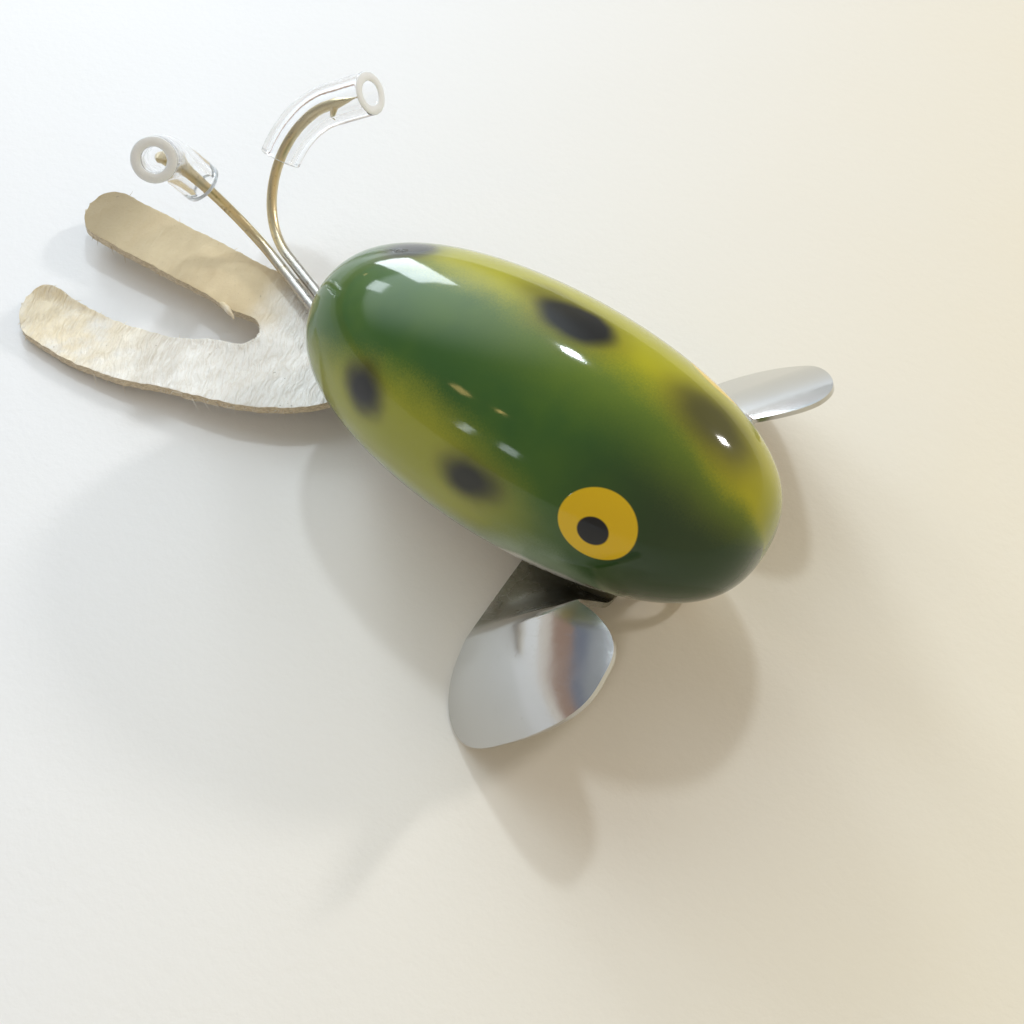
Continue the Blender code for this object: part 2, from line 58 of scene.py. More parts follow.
# Tipped by this much, the egg stands a little higher over its middle than its radius
NOSE_UP, TIPPED_TOP = math.radians(2.4), 1.004
body_low, body_high = np.array(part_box("body")) / MM
BODY_MIDDLE = np.array([(body_low[0] + body_high[0]) / 2, 0.0, body_high[2] - BODY_RADIUS * TIPPED_TOP])
BODY_AHEAD = np.array([math.cos(NOSE_UP), 0.0, math.sin(NOSE_UP)])
BODY_UP = np.array([-math.sin(NOSE_UP), 0.0, math.cos(NOSE_UP)])
TO_LEFT = np.array([0.0, 1.0, 0.0])
BELLY_FLAT, FLAT_ROUNDING = body_low[2], 0.14
PIVOT = np.array(frame["record"]["behaviour"]["joints"][0]["pos_m"]) / MM
SEAT_RADIUS, SEAT_HEIGHT, SEAT_WALL_SLOPE = 4.4, 6.4, 5.0
MERGE_WITHIN, DISSOLVE_WITHIN = 0.002, 0.001


def joined(*parts):
    """Arrays spread to one shape and set side by side along a new last axis."""
    return np.stack(np.broadcast_arrays(*parts), -1)


def link(name, data):
    """A new object at the origin that shows a mesh, a light or a camera."""
    made = bpy.data.objects.new(name, data)
    bpy.context.scene.collection.objects.link(made)
    return made


def grid_faces(rows, columns, wrap, start=0):
    """Four-sided faces between the neighbours of a rows by columns grid; wrap joins the last column
    to the first."""
    row = start + np.arange(rows - 1)[:, None] * columns
    here = np.arange(columns if wrap else columns - 1)[None, :]
    beside = (here + 1) % columns
    corners = joined(row + here, row + beside, row + columns + beside, row + columns + here)
    return corners.reshape(-1, 4).tolist()


def closed_skin(name, grid, first_end=None, last_end=None):
    """A tube of rings, rows by columns, whose ends are closed by fans to one point each."""
    rows, columns = grid.shape[:2]
    first_end = grid[0].mean(0) if first_end is None else first_end
    last_end = grid[-1].mean(0) if last_end is None else last_end
    points = np.concatenate([grid.reshape(-1, 3), [first_end, last_end]])
    turn = np.arange(columns)
    step = (turn + 1) % columns
    faces = grid_faces(rows, columns, True)
    faces += joined(rows * columns, step, turn).tolist()
    last = (rows - 1) * columns
    faces += joined(rows * columns + 1, last + turn, last + step).tolist()
    return piece(name, points, faces)


def piece(name, points, faces):
    """A smooth mesh object of points in millimetres, with doubled points merged and its normals out."""
    mesh = bpy.data.meshes.new(name)
    mesh.from_pydata((np.asarray(points).reshape(-1, 3) * MM).tolist(), [], faces)
    work = bmesh.new()
    work.from_mesh(mesh)
    bmesh.ops.remove_doubles(work, verts=work.verts, dist=MERGE_WITHIN * MM)
    bmesh.ops.dissolve_degenerate(work, edges=work.edges, dist=DISSOLVE_WITHIN * MM)
    bmesh.ops.recalc_face_normals(work, faces=work.faces)
    work.to_mesh(mesh)
    work.free()
    mesh.shade_smooth()
    return link(name, mesh)


def body_radius(along):
    """Radius of the turned egg: full size times (1 - (2x/length)^2) to half the bluntness."""
    return BODY_RADIUS * np.clip(1 - (2 * along / BODY_LENGTH) ** 2, 0, None) ** (BODY_BLUNTNESS / 2)


def soft_floor(height, floor, rounding):
    """The larger of two heights, with the corner between them rounded over."""
    return floor + rounding * np.logaddexp(0, (height - floor) / rounding)


turn = np.linspace(0, math.tau, BODY_SIDES, endpoint=False)[None, :, None]
along = (-BODY_LENGTH / 2 * np.cos(np.linspace(0, math.pi, BODY_ROWS + 2)[1:-1]))[:, None, None]
outward = np.cos(turn) * BODY_UP + np.sin(turn) * TO_LEFT
egg = BODY_MIDDLE + along * BODY_AHEAD + body_radius(along) * outward
from_pivot = np.hypot(egg[..., 0] - PIVOT[0], egg[..., 1])
seat = SEAT_HEIGHT - SEAT_WALL_SLOPE * np.clip(from_pivot - SEAT_RADIUS, 0, None)
egg[..., 2] = np.where(egg[..., 2] < BODY_MIDDLE[2],
                       soft_floor(egg[..., 2], np.maximum(BELLY_FLAT, seat), FLAT_ROUNDING), egg[..., 2])
to_nose = BODY_LENGTH / 2 * BODY_AHEAD
painted_body = closed_skin("painted_body", egg, BODY_MIDDLE - to_nose, BODY_MIDDLE + to_nose)


class Nodes:
    """Short ways to add shader nodes to a tree; most return the socket of their result."""

    def __init__(self, tree):
        self.tree = tree

    def node(self, kind, settings=None, **inputs):
        made = self.tree.nodes.new("ShaderNode" + kind)
        for key, value in (settings or {}).items():
            setattr(made, key, value)
        for key, value in inputs.items():
            self.put(made.inputs[key.replace("_", " ")], value)
        return made

    def work(self, kind, operation, inputs):
        made = self.node(kind, {"operation": operation})
        for socket, value in zip(made.inputs, inputs):
            self.put(socket, value)
        return made.outputs

    def put(self, socket, value):
        """Link a result to a socket or set a constant on it; a colour gets its alpha here."""
        if isinstance(value, bpy.types.NodeSocket):
            self.tree.links.new(value, socket)
        else:
            socket.default_value = (*value, 1.0) if socket.type == "RGBA" else value

    def place(self, centre=(0, 0, 0), turn=(0, 0, 0), size=(MM, MM, MM)):
        """Object coordinates moved to a centre, turned back and measured in the given sizes."""
        coords = self.node("TexCoord").outputs["Object"]
        return self.within(coords, centre, turn, size)

    def within(self, vector, centre, turn, size):
        return self.node("Mapping", {"vector_type": "TEXTURE"}, Vector=vector, Location=tuple(centre),
                         Rotation=tuple(turn), Scale=tuple(size)).outputs[0]

    def math(self, operation, *inputs):
        return self.work("Math", operation, inputs)[0]

    def vector(self, operation, *inputs):
        return self.work("VectorMath", operation, inputs)[operation in ("LENGTH", "DOT_PRODUCT")]

    def axes(self, vector):
        return self.node("SeparateXYZ", Vector=vector).outputs

    def ramp(self, value, low, high):
        """Smooth 0 to 1 as value goes from low to high, either way round."""
        return self.node("MapRange", {"interpolation_type": "SMOOTHSTEP"}, Value=value, From_Min=low,
                         From_Max=high).outputs["Result"]

    def both(self, *masks):
        result = masks[0]
        for mask in masks[1:]:
            result = self.math("MULTIPLY", result, mask)
        return result

    def noise(self, vector, scale, detail=4.0, roughness=0.55, stretch=None, result="Fac"):
        if stretch:
            vector = self.within(vector, (0, 0, 0), (0, 0, 0), stretch)
        return self.node("TexNoise", Vector=vector, Scale=scale, Detail=detail,
                         Roughness=roughness).outputs[result]

    def mix(self, share, first, second):
        made = self.node("Mix", {"data_type": "RGBA"}, Factor=share)
        self.put(made.inputs[6], first)
        self.put(made.inputs[7], second)
        return made.outputs[2]

    def between(self, share, low, high):
        return self.node("MapRange", Value=share, To_Min=low, To_Max=high).outputs["Result"]

    def bump(self, height, distance, below=None):
        """Bump of a height of 0 to 1 that stands for a real depth in millimetres."""
        made = self.node("Bump", Height=height, Distance=distance * MM)
        if below is not None:
            self.put(made.inputs["Normal"], below)
        return made.outputs[0]


class Finish(Nodes):
    """A material of its own, with constants set straight on the shader's sockets."""

    def __init__(self, name, **values):
        self.material = bpy.data.materials.new(name)
        self.material.use_nodes = True
        super().__init__(self.material.node_tree)
        self.shader = self.tree.nodes["Principled BSDF"]
        self.set(**values)

    def set(self, **sockets):
        for socket, value in sockets.items():
            self.put(self.shader.inputs[socket.replace("_", " ")], value)

    def dress(self, made):
        made.data.materials.clear()
        made.data.materials.append(self.material)


def fasten(made, finish, body, node=None):
    """Dress a piece, make it ride on a CAD body and hide the CAD node that it replaces, if any."""
    finish.dress(made)
    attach(made, body)
    if node:
        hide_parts(node)


GREEN, FRESH_GREEN, DEEP_GREEN = (0.032, 0.098, 0.014), (0.056, 0.128, 0.012), (0.013, 0.042, 0.009)
YELLOW, DULL_YELLOW, LIME = (0.360, 0.340, 0.004), (0.320, 0.330, 0.022), (0.190, 0.235, 0.008)
BROWN_HALO, WHITE_MIST = (0.060, 0.050, 0.008), (0.340, 0.430, 0.300)
SPOT_BLACK, BELLY_WHITE = (0.006, 0.006, 0.005), (0.780, 0.770, 0.700)
BARE_WOOD = (0.210, 0.105, 0.050)
EYE_YELLOW, EYE_BLACK = (0.725, 0.478, 0.003), (0.004, 0.004, 0.005)
EYE_ALONG, EYE_ANGLE, EYE_RADIUS = 14.3, 61.5, 3.5
PUPIL_RADIUS, PUPIL_BACK, PUPIL_LOWER = 1.42, 0.15, 3.4
# Each spot: place along the body, degrees from the back (left is positive), half length, half width,
# softness of its edge and how black it is
SPOTS = [(2.5, 15.5, 4.0, 2.35, 0.30, 1.0), (17.9, 16.5, 4.2, 2.6, 0.65, 0.75),
         (-17.2, 20.0, 2.4, 2.3, 0.40, 0.95), (-12.0, -62.0, 2.3, 2.0, 0.65, 1.0),
         (1.9, -70.5, 2.8, 2.0, 0.60, 0.95), (-1.6, 22.0, 3.2, 1.5, 0.85, 0.3),
         (-9.0, 70.0, 2.5, 2.2, 0.60, 0.9), (6.5, 66.0, 3.0, 2.1, 0.60, 0.95)]
SPOT_DEPTH, HALO_LONGER, HALO_WIDER, HALO_SOFTNESS = 12.0, 1.25, 1.35, 0.55
# The spray gun drifted by up to half of this, and its mist blurs an edge by this many degrees
DRIFT, MIST = 1.6, 7.0
PATCH_ALONG, PATCH_ANGLE, PATCH_HALF_LENGTH, PATCH_HALF_ANGLE = -7.0, -79.0, 15.5, 35.0

paint = Finish("frog_paint", Roughness=0.5, Specular_IOR_Level=0.1, Coat_Weight=1.0, Coat_Roughness=0.075,
               Coat_IOR=1.4)
lathe = paint.place(BODY_MIDDLE * MM, (0.0, -NOSE_UP, 0.0))
drift = paint.noise(lathe, 0.22, 2.0, 0.5, result="Color")
drift = paint.vector("MULTIPLY_ADD", drift, (DRIFT,) * 3, (-DRIFT / 2,) * 3)
sprayed = paint.vector("ADD", lathe, drift)
x, y, z = paint.axes(sprayed)
angle = paint.math("MULTIPLY", paint.math("ARCTAN2", y, z), 180 / math.pi)
away = paint.math("ABSOLUTE", angle)
mist = paint.between(paint.noise(lathe, 6.0, 3.0, 0.7), -MIST, MIST)


def spot_mask(vector, along, degrees, half_length, half_width, softness):
    """Soft round or oval patch lying on the egg: 1 inside, falling to 0 across its edge."""
    radius = float(body_radius(np.array(along)))
    around = math.radians(degrees)
    centre = (along, radius * math.sin(around), radius * math.cos(around))
    flat = paint.within(vector, centre, (-around, 0, 0), (half_length, half_width, SPOT_DEPTH))
    return paint.ramp(paint.vector("LENGTH", flat), 1 + softness, 1 - softness)


# Yellow: a long band on the left of the back that swings over the nose, and a duller patch low on the right
edge = paint.between(paint.ramp(x, 12.0, 25.0), 4.0, -14.0)
past_edge = paint.math("ADD", paint.math("SUBTRACT", angle, edge), mist)
left_band = paint.both(paint.ramp(past_edge, -9.0, 15.0), paint.ramp(angle, 84.0, 58.0),
                       paint.ramp(x, -22.0, -11.0), paint.ramp(x, 28.0, 23.0))
right_angle = paint.math("ADD", angle, mist)
patch_along = paint.math("DIVIDE", paint.math("SUBTRACT", x, PATCH_ALONG), PATCH_HALF_LENGTH)
patch_around = paint.math("DIVIDE", paint.math("SUBTRACT", right_angle, PATCH_ANGLE), PATCH_HALF_ANGLE)
patch_reach = paint.math("SQRT", paint.math("ADD", paint.both(patch_along, patch_along),
                                            paint.both(patch_around, patch_around)))
right_patch = paint.ramp(patch_reach, 1.22, 0.55)
tone = paint.noise(lathe, 0.10, 3.0)
green = paint.mix(paint.ramp(tone, 0.35, 0.7), GREEN, FRESH_GREEN)
green = paint.mix(paint.both(paint.ramp(x, 6.0, 20.0), paint.ramp(angle, 5.0, -38.0)), green, DEEP_GREEN)
lime_share = paint.both(paint.ramp(past_edge, -40.0, 6.0), paint.ramp(x, -14.0, 4.0), 0.5)
colour = paint.mix(lime_share, green, LIME)
colour = paint.mix(left_band, colour, YELLOW)
colour = paint.mix(paint.both(right_patch, 0.9), colour, DULL_YELLOW)
for at, degrees, long, wide, softness, black in SPOTS:
    halo = spot_mask(sprayed, at, degrees, long * HALO_LONGER, wide * HALO_WIDER, HALO_SOFTNESS)
    colour = paint.mix(paint.both(halo, 0.55 * black), colour, BROWN_HALO)
    core = spot_mask(sprayed, at, degrees, long, wide, softness)
    colour = paint.mix(paint.both(core, black), colour, SPOT_BLACK)
# White belly: its edge climbs the side behind each eye and sinks toward both ends
belly_edge = paint.between(paint.ramp(paint.math("ABSOLUTE", x), 14.0, 25.0), 117.0, 192.0)
belly_climb = paint.both(paint.ramp(x, 2.0, 8.0), paint.ramp(x, 15.5, 11.0), 13.0)
below_edge = paint.math("SUBTRACT", paint.math("ADD", away, paint.both(mist, 0.5)),
                        paint.math("SUBTRACT", belly_edge, belly_climb))
colour = paint.mix(paint.both(paint.ramp(below_edge, -26.0, -1.0), 0.8), colour, WHITE_MIST)
colour = paint.mix(paint.ramp(below_edge, -2.5, 3.5), colour, BELLY_WHITE)
eyes = 0.0
for side in (-1, 1):
    rim = spot_mask(lathe, EYE_ALONG, side * EYE_ANGLE, EYE_RADIUS, EYE_RADIUS, 0.025)
    pupil = spot_mask(lathe, EYE_ALONG - PUPIL_BACK, side * (EYE_ANGLE + PUPIL_LOWER), PUPIL_RADIUS,
                      PUPIL_RADIUS, 0.07)
    colour = paint.mix(rim, colour, EYE_YELLOW)
    colour = paint.mix(pupil, colour, EYE_BLACK)
    eyes = paint.math("ADD", eyes, paint.math("ADD", rim, pupil))
# Chips where the plate has rubbed the paint down to white and to the wood
near_plate = paint.both(paint.ramp(away, 108.0, 114.0), paint.ramp(x, 6.0, 10.0), paint.ramp(x, 19.0, 16.0))
flake = paint.noise(lathe, 0.9, 5.0, 0.65)
chipped = paint.both(near_plate, paint.ramp(flake, 0.52, 0.54))
bare = paint.both(near_plate, paint.ramp(flake, 0.58, 0.60))
colour = paint.mix(chipped, colour, BELLY_WHITE)
colour = paint.mix(bare, colour, BARE_WOOD)
paint_steps = paint.bump(eyes, 0.02, paint.bump(chipped, -0.06))
orange_peel = paint.noise(lathe, 0.35, 2.0, 0.4)
paint.set(Base_Color=colour, Normal=paint_steps, Coat_Normal=paint.bump(orange_peel, 0.014, paint_steps))
fasten(painted_body, paint, "lure", "body")

# Belly weight
# A lead plug cast in a hole in the belly and dressed almost flush with it by a few strokes of a file.
# It is dull grey with a white bloom, and holds by the wood's grip alone.
weight_low, weight_high = np.array(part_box("belly_weight")) / MM
weight_radius = (weight_high[0] - weight_low[0]) / 2
weight_middle = (weight_low + weight_high) / 2
PLUG_PROUD, PLUG_ROUNDING = 0.05, 0.07
UPWARD = np.array([0.0, 0.0, 1.0])


def turned(name, profile, middle, sides=96):
    """A (radius, height) profile spun about an upright line through middle; both ends close on that line."""
    profile = np.asarray(profile, float)
    spin = np.linspace(0, math.tau, sides, endpoint=False)
    ring = joined(np.cos(spin), np.sin(spin), 0.0)
    grid = profile[:, None, :1] * ring[None] + profile[:, 1, None, None] * UPWARD
    return closed_skin(name, grid + np.array([middle[0], middle[1], 0.0]))


share = np.linspace(0.04, 1, 20)
plug_face = joined(weight_radius * share, weight_low[2] - PLUG_PROUD + PLUG_ROUNDING * share ** 8)
plug_profile = np.concatenate([plug_face, [(weight_radius, weight_high[2])]])
lead_plug = turned("lead_plug", plug_profile, weight_middle)
lead = Finish("dull_lead", Metallic=0.85)
lead_place = lead.place(weight_middle * MM, (0, 0, 0.5))
file_marks = lead.noise(lead_place, 6.0, 3.0, 0.6, (0.25, 4.0, 1.0))
bloom = lead.noise(lead_place, 0.8)
lead.set(Base_Color=lead.mix(lead.ramp(bloom, 0.35, 0.7), (0.16, 0.16, 0.18), (0.36, 0.36, 0.37)),
         Roughness=lead.between(bloom, 0.45, 0.75), Normal=lead.bump(file_marks, 0.05))
fasten(lead_plug, lead, "lure", "belly_weight")

# Wing plate
# One piece of thin polished sheet: a flat tab under the belly, and on each side a web that rises to a
# straight crease and folds into a slightly crowned, tapered blade whose toe is bent over. Two screws hold it.
SHEET, PLATE_GAP, EDGE_ROUNDING = 0.5, 0.25, 0.15
plate_low, plate_high = np.array(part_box("wing_plate")) / MM
NOSE = BODY_MIDDLE[0] + BODY_LENGTH / 2
TAB_REAR, TAB_FRONT, TAB_HALF_WIDTH = NOSE - 21.0, NOSE - 11.0, 6.0
TAB_HEIGHT = BELLY_FLAT - PLATE_GAP - SHEET / 2
BLADE_LENGTH, BLADE_WIDTH, TOE_FROM, TOE_SLANT = 20.6, 14.7, 0.17, 0.5
# The fold tightens over FOLD_FADE columns toward both ends of the crease, to FOLD_LEAST of its reach
WEB_BEND, FOLD_REACH, FOLD_FADE, FOLD_LEAST = 0.3, 0.9, 10, 0.03
# Room for the sheet's thickness past its middle surface, at a blade's outer and lowest edge
OUTER_ROOM, LOWER_ROOM = 0.37, 0.34
# The two blades have been bent by hand and differ a little: right is -1, left is 1
BLADE_SQUARENESS, BLADE_TAPER = {-1: 2.9, 1: 2.2}, {-1: 0.34, 1: 0.38}
BLADE_RISE, BLADE_DROOP = {-1: 45.0, 1: 46.5}, {-1: 20.0, 1: 17.4}
CROWN_OUTER, CROWN_INNER, TOE_CURL = {-1: 1.7, 1: 0.25}, {-1: 0.25, 1: 0.48}, {-1: 1.0, 1: 1.3}
BLADE_AHEAD, BLADE_LIFT = {-1: NOSE - 12.1, 1: NOSE - 12.5}, {-1: 0.0, 1: 0.55}
CREASE_FRONT, CREASE_REAR = {-1: 80.0, 1: 62.0}, {-1: 176.6, 1: 180.0}
QUARTER, BLADE_RINGS, WEB_ROWS, TAB_COLUMNS = 48, 48, 40, 24
RING_SPACING, WEB_SPACING = 0.8, 1.6


def blade_outline(turn, side):
    """Outline (u, v) of a superellipse that narrows toward the toe."""
    c, s = np.cos(turn), np.sin(turn)
    power = 2 / BLADE_SQUARENESS[side]
    u = BLADE_LENGTH / 2 * np.sign(c) * np.abs(c) ** power
    half_width = BLADE_WIDTH / 2 * (1 - 2 * BLADE_TAPER[side] * u / BLADE_LENGTH)
    return u, half_width * np.sign(s) * np.abs(s) ** power


def blade(u, v, side):
    """Point of a blade, u from heel to toe and v toward the body: it drops by the square of v, in another
    measure on each half, and past a slanted line by the square of the way from it, which bends the toe."""
    rise, droop = math.radians(BLADE_RISE[side]), math.radians(BLADE_DROOP[side])
    rising = np.array([math.cos(rise), 0, math.sin(rise)])
    square = np.array([-math.sin(rise), 0, math.cos(rise)])
    inward = np.array([0, -side, 0])
    across = math.cos(droop) * inward + math.sin(droop) * square
    crown = math.cos(droop) * square - math.sin(droop) * inward
    along_share, across_share = 2 * u / BLADE_LENGTH, 2 * v / BLADE_WIDTH
    past_line = np.clip(along_share + TOE_SLANT * across_share + TOE_FROM, 0, None)
    crowning = np.where(v < 0, CROWN_OUTER[side], CROWN_INNER[side])
    drop = crowning * across_share ** 2 + TOE_CURL[side] * past_line ** 2
    return u[..., None] * rising + v[..., None] * across - drop[..., None] * crown


def thicken(made, thickness, rounding, sharp):
    """Give a sheet its thickness, half to each side, and round off the edges that turn by more than sharp."""
    thick = made.modifiers.new("thickness", "SOLIDIFY")
    thick.thickness, thick.offset = thickness * MM, 0.0
    soften = made.modifiers.new("rounding", "BEVEL")
    soften.width, soften.segments, soften.limit_method = rounding * MM, 3, "ANGLE"
    soften.angle_limit = math.radians(sharp)
    return thick, soften


rings = np.linspace(0, 1, BLADE_RINGS + 1)[1:, None] ** RING_SPACING
sheet_points, sheet_faces, crease_line = [], [], {}


def rounded_fold(points, crease, to_tab, to_blade, leg):
    """Points nearer to the crease than the fold's reach, moved onto the parabola that joins its two legs:
    leg is -1 for points of the web and 1 for points of the blade."""
    ends = np.minimum(np.arange(QUARTER + 1), np.arange(QUARTER + 1)[::-1])
    reach = FOLD_REACH * np.clip(ends / FOLD_FADE, FOLD_LEAST, 1)[:, None]
    away = np.linalg.norm(points - crease, axis=-1, keepdims=True)
    share = 0.5 + leg * np.minimum(away / reach, 1) / 2
    rounded = crease + reach * ((1 - share) ** 2 * to_tab + share ** 2 * to_blade)
    return np.where(away < reach, rounded, points)


def unit(vectors):
    """Vectors scaled to length 1."""
    return vectors / np.linalg.norm(vectors, axis=-1, keepdims=True)


def add_patch(grid, wrap=False):
    """Collect one grid of the sheet; neighbours share their edge points, which are merged later."""
    start = sum(len(points) for points in sheet_points)
    sheet_points.append(grid.reshape(-1, 3))
    sheet_faces.extend(grid_faces(*grid.shape[:2], wrap, start))


tab_x = np.linspace(TAB_FRONT, TAB_REAR, QUARTER + 1)
tab_y = np.linspace(-TAB_HALF_WIDTH, TAB_HALF_WIDTH, TAB_COLUMNS + 1)[:, None]
add_patch(joined(tab_x[None], tab_y, TAB_HEIGHT))
for side in (-1, 1):
    # The outline goes straight along the crease to the heel, then round the free edge
    front, rear = math.radians(CREASE_FRONT[side]), math.radians(CREASE_REAR[side])
    free_turn = np.linspace(rear, math.tau + front, 3 * QUARTER, endpoint=False)
    free_uv = np.array(blade_outline(free_turn, side))
    crease_front = np.array(blade_outline(np.array([front]), side))
    crease_uv = crease_front + (free_uv[:, :1] - crease_front) * np.arange(QUARTER) / QUARTER
    outline_u, outline_v = np.concatenate([crease_uv, free_uv], 1)
    edge_points = blade(outline_u, outline_v, side)
    blade_out = plate_high[1] - OUTER_ROOM * SHEET - (side * edge_points[:, 1]).max()
    blade_up = plate_low[2] + LOWER_ROOM * SHEET - edge_points[:, 2].min() + BLADE_LIFT[side]
    middle = np.array([BLADE_AHEAD[side], side * blade_out, blade_up])
    blade_grid = middle + blade(outline_u * rings, outline_v * rings, side)
    crease = blade_grid[-1, :QUARTER + 1].copy()
    slope = side * (crease[-1, 1] - crease[0, 1]) / (crease[0, 0] - crease[-1, 0])
    crease_line[side] = slope, side * crease[0, 1] + slope * crease[0, 0]
    # The web leaves the tab level, bends up and then runs straight to the crease
    tab_edge = joined(tab_x, side * TAB_HALF_WIDTH, TAB_HEIGHT)
    out = 1 - (1 - np.linspace(0, 1, WEB_ROWS + 1)[:, None, None]) ** WEB_SPACING
    bent = np.where(out < WEB_BEND, out * out / (2 * WEB_BEND), out - WEB_BEND / 2) / (1 - WEB_BEND / 2)
    web_grid = tab_edge + (crease - tab_edge) * np.concatenate([out, out, bent], -1)
    to_tab = unit((tab_edge - crease) * np.array([1, 1, 1 / (1 - WEB_BEND / 2)]))
    to_blade = unit(blade_grid[-4, :QUARTER + 1] - crease)
    blade_grid[:, :QUARTER + 1] = rounded_fold(blade_grid[:, :QUARTER + 1], crease, to_tab, to_blade, 1)
    add_patch(rounded_fold(web_grid, crease, to_tab, to_blade, -1))
    add_patch(blade_grid, True)
    centre_index = sum(len(points) for points in sheet_points)
    first_ring = centre_index - BLADE_RINGS * 4 * QUARTER
    sheet_points.append(middle + blade(np.zeros(1), np.zeros(1), side))
    spoke = np.arange(4 * QUARTER)
    sheet_faces += joined(centre_index, first_ring + spoke, first_ring + (spoke + 1) % (4 * QUARTER)).tolist()
wing_sheet = piece("wing_sheet", np.concatenate(sheet_points), sheet_faces)
thick, soften = thicken(wing_sheet, SHEET, EDGE_ROUNDING, 60)
thick.use_even_offset = soften.harden_normals = True

polish = Finish("polished_sheet", Metallic=1.0)
sheet_place = polish.place()
smear = polish.noise(sheet_place, 0.16, 5.0, 0.6)
rubbed = polish.noise(sheet_place, 3.0, 3.0, 0.65, (9.0, 0.8, 6.0))
speck = polish.noise(sheet_place, 1.7, 5.0, 0.7)
hairline = polish.noise(sheet_place, 1.0, 2.0, 0.5, (14.0, 0.22, 4.0))
stain = polish.both(polish.ramp(speck, 0.62, 0.74), 0.45)
bright_sheet = polish.mix(smear, (0.54, 0.54, 0.525), (0.61, 0.606, 0.595))
# The web is painted dark olive from the crease inwards; in plan each crease is the line |y| + slope * x =
# level
sheet_x, sheet_y, _ = polish.axes(sheet_place)
on_right = polish.ramp(sheet_y, 0.5, -0.5)
crease_slope, crease_level = (polish.between(on_right, left, right)
                              for left, right in zip(crease_line[1], crease_line[-1]))
past_crease = polish.math("ADD", polish.math("ABSOLUTE", sheet_y), polish.both(sheet_x, crease_slope))
past_crease = polish.math("SUBTRACT", past_crease, crease_level)
web_grime_and_shade = polish.ramp(polish.math("ADD", past_crease, polish.between(speck, -0.5, 0.5)), -0.5, -2.0)
web_shade_share = polish.both(web_grime_and_shade, polish.between(speck, 0.55, 1.0))
# Painted shade: the dark olive stands for the body's shaded underside mirrored in the web; the web is also
# rougher there
bright_sheet = polish.mix(web_shade_share, bright_sheet, (0.17, 0.165, 0.11))
glaze = polish.between(polish.ramp(smear, 0.3, 0.7), 0.09, 0.15)
glaze = polish.math("ADD", glaze, polish.both(web_grime_and_shade, 0.16))
polish.set(Base_Color=polish.mix(stain, bright_sheet, (0.34, 0.28, 0.22)),
           Roughness=polish.math("ADD", glaze, polish.both(polish.ramp(rubbed, 0.55, 0.8), 0.06)),
           Normal=polish.bump(hairline, 0.0006, polish.bump(smear, 0.012)))
fasten(wing_sheet, polish, "lure", "wing_plate")

# Screws and washers
# Brass wood screws with a sawn slot: two round heads hold the plate, and one pan head under the tail holds
# the washers, the leather and the hook, which swing on its shank. The washers are punched from thin brass.
SLOT_HALF_WIDTH, SLOT_DEPTH, SLOT_WALL, SLOT_REACH = 0.55, 0.55, 0.12, 0.72
# Head height, shank radius and turn of the slot of each kind of screw
DOME_SCREW, PAN_SCREW = (1.1, 0.9, 0.6), (1.5, 1.1, -0.3)
WASHER_HOLE, WASHER_ROUNDING = 1.4, 0.12


def screw(name, node, dome):
    """A slotted screw from its node's box: head profile, plain shank and point, and a slot sunk into the
    head's face with steep walls."""
    low, high = np.array(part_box(node)) / MM
    head_radius = (high[0] - low[0]) / 2
    length = high[2] - low[2]
    head_height, shank_radius, slot_turn = DOME_SCREW if dome else PAN_SCREW
    share = np.linspace(0.02, 1, 40)
    if dome:
        lean = share * math.pi / 2
        face = joined(head_radius * np.sin(lean), head_height * (1 - np.cos(lean)))
    else:
        face = joined(head_radius * np.minimum(share * 1.02, 1), 0.9 * share ** 9)
    shank = [(head_radius, head_height), (shank_radius, head_height),
             (shank_radius, length - 2 * shank_radius), (0.1, length)]
    made = turned(name, np.concatenate([face, shank]) + [0, low[2]], (low + high) / 2, 160)
    co = np.empty(len(made.data.vertices) * 3, np.float32)
    made.data.vertices.foreach_get("co", co)
    co = co.reshape(-1, 3)
    ahead = co[:, 0] / MM - (low[0] + high[0]) / 2
    beside = -math.sin(slot_turn) * ahead + math.cos(slot_turn) * co[:, 1] / MM
    on_face = co[:, 2] / MM < low[2] + head_height * SLOT_REACH
    sunk = np.where(on_face, np.clip((SLOT_HALF_WIDTH - np.abs(beside)) / SLOT_WALL, 0, 1), 0)
    slot_floor = (low[2] + SLOT_DEPTH) * MM
    co[:, 2] = co[:, 2] + sunk * np.maximum(slot_floor - co[:, 2], 0)
    made.data.vertices.foreach_set("co", co.ravel())
    return made


brass = Finish("aged_brass", Metallic=1.0)
brass_place = brass.place()
dulled = brass.noise(brass_place, 0.5, 5.0, 0.6)
brass.set(Base_Color=brass.mix(brass.ramp(dulled, 0.35, 0.68), (0.66, 0.50, 0.24), (0.26, 0.18, 0.09)),
          Roughness=brass.between(dulled, 0.16, 0.5),
          Normal=brass.bump(brass.noise(brass_place, 4.0, 4.0, 0.6), 0.012))
for node, dome in (("plate_screw_rear", True), ("plate_screw_front", True), ("tail_screw", False)):
    fasten(screw(node + "_slotted", node, dome), brass, "lure", node)


def ring_profile(inner, outer, low, high, rounding):
    """Closed profile of a flat ring with rounded corners: four quarter circles joined by straight sides."""
    quarter = np.linspace(0, math.pi / 2, 5)
    corners = [(outer - rounding, high - rounding, 0), (inner + rounding, high - rounding, 1),
               (inner + rounding, low + rounding, 2), (outer - rounding, low + rounding, 3)]
    radius, height, quarters = np.array(corners).T[..., None]
    turn = quarter + quarters * math.pi / 2
    return joined(radius + rounding * np.cos(turn), height + rounding * np.sin(turn)).reshape(-1, 2)


def spun_ring(name, profile, middle, sides=96):
    """A closed (radius, height) profile spun about an upright line, joined to itself both ways."""
    spin = np.linspace(0, math.tau, sides + 1)[:, None]
    radius, height = profile.T[:, None]
    grid = joined(middle[0] + radius * np.cos(spin), middle[1] + radius * np.sin(spin), height)
    return piece(name, grid, grid_faces(sides + 1, len(profile), True))


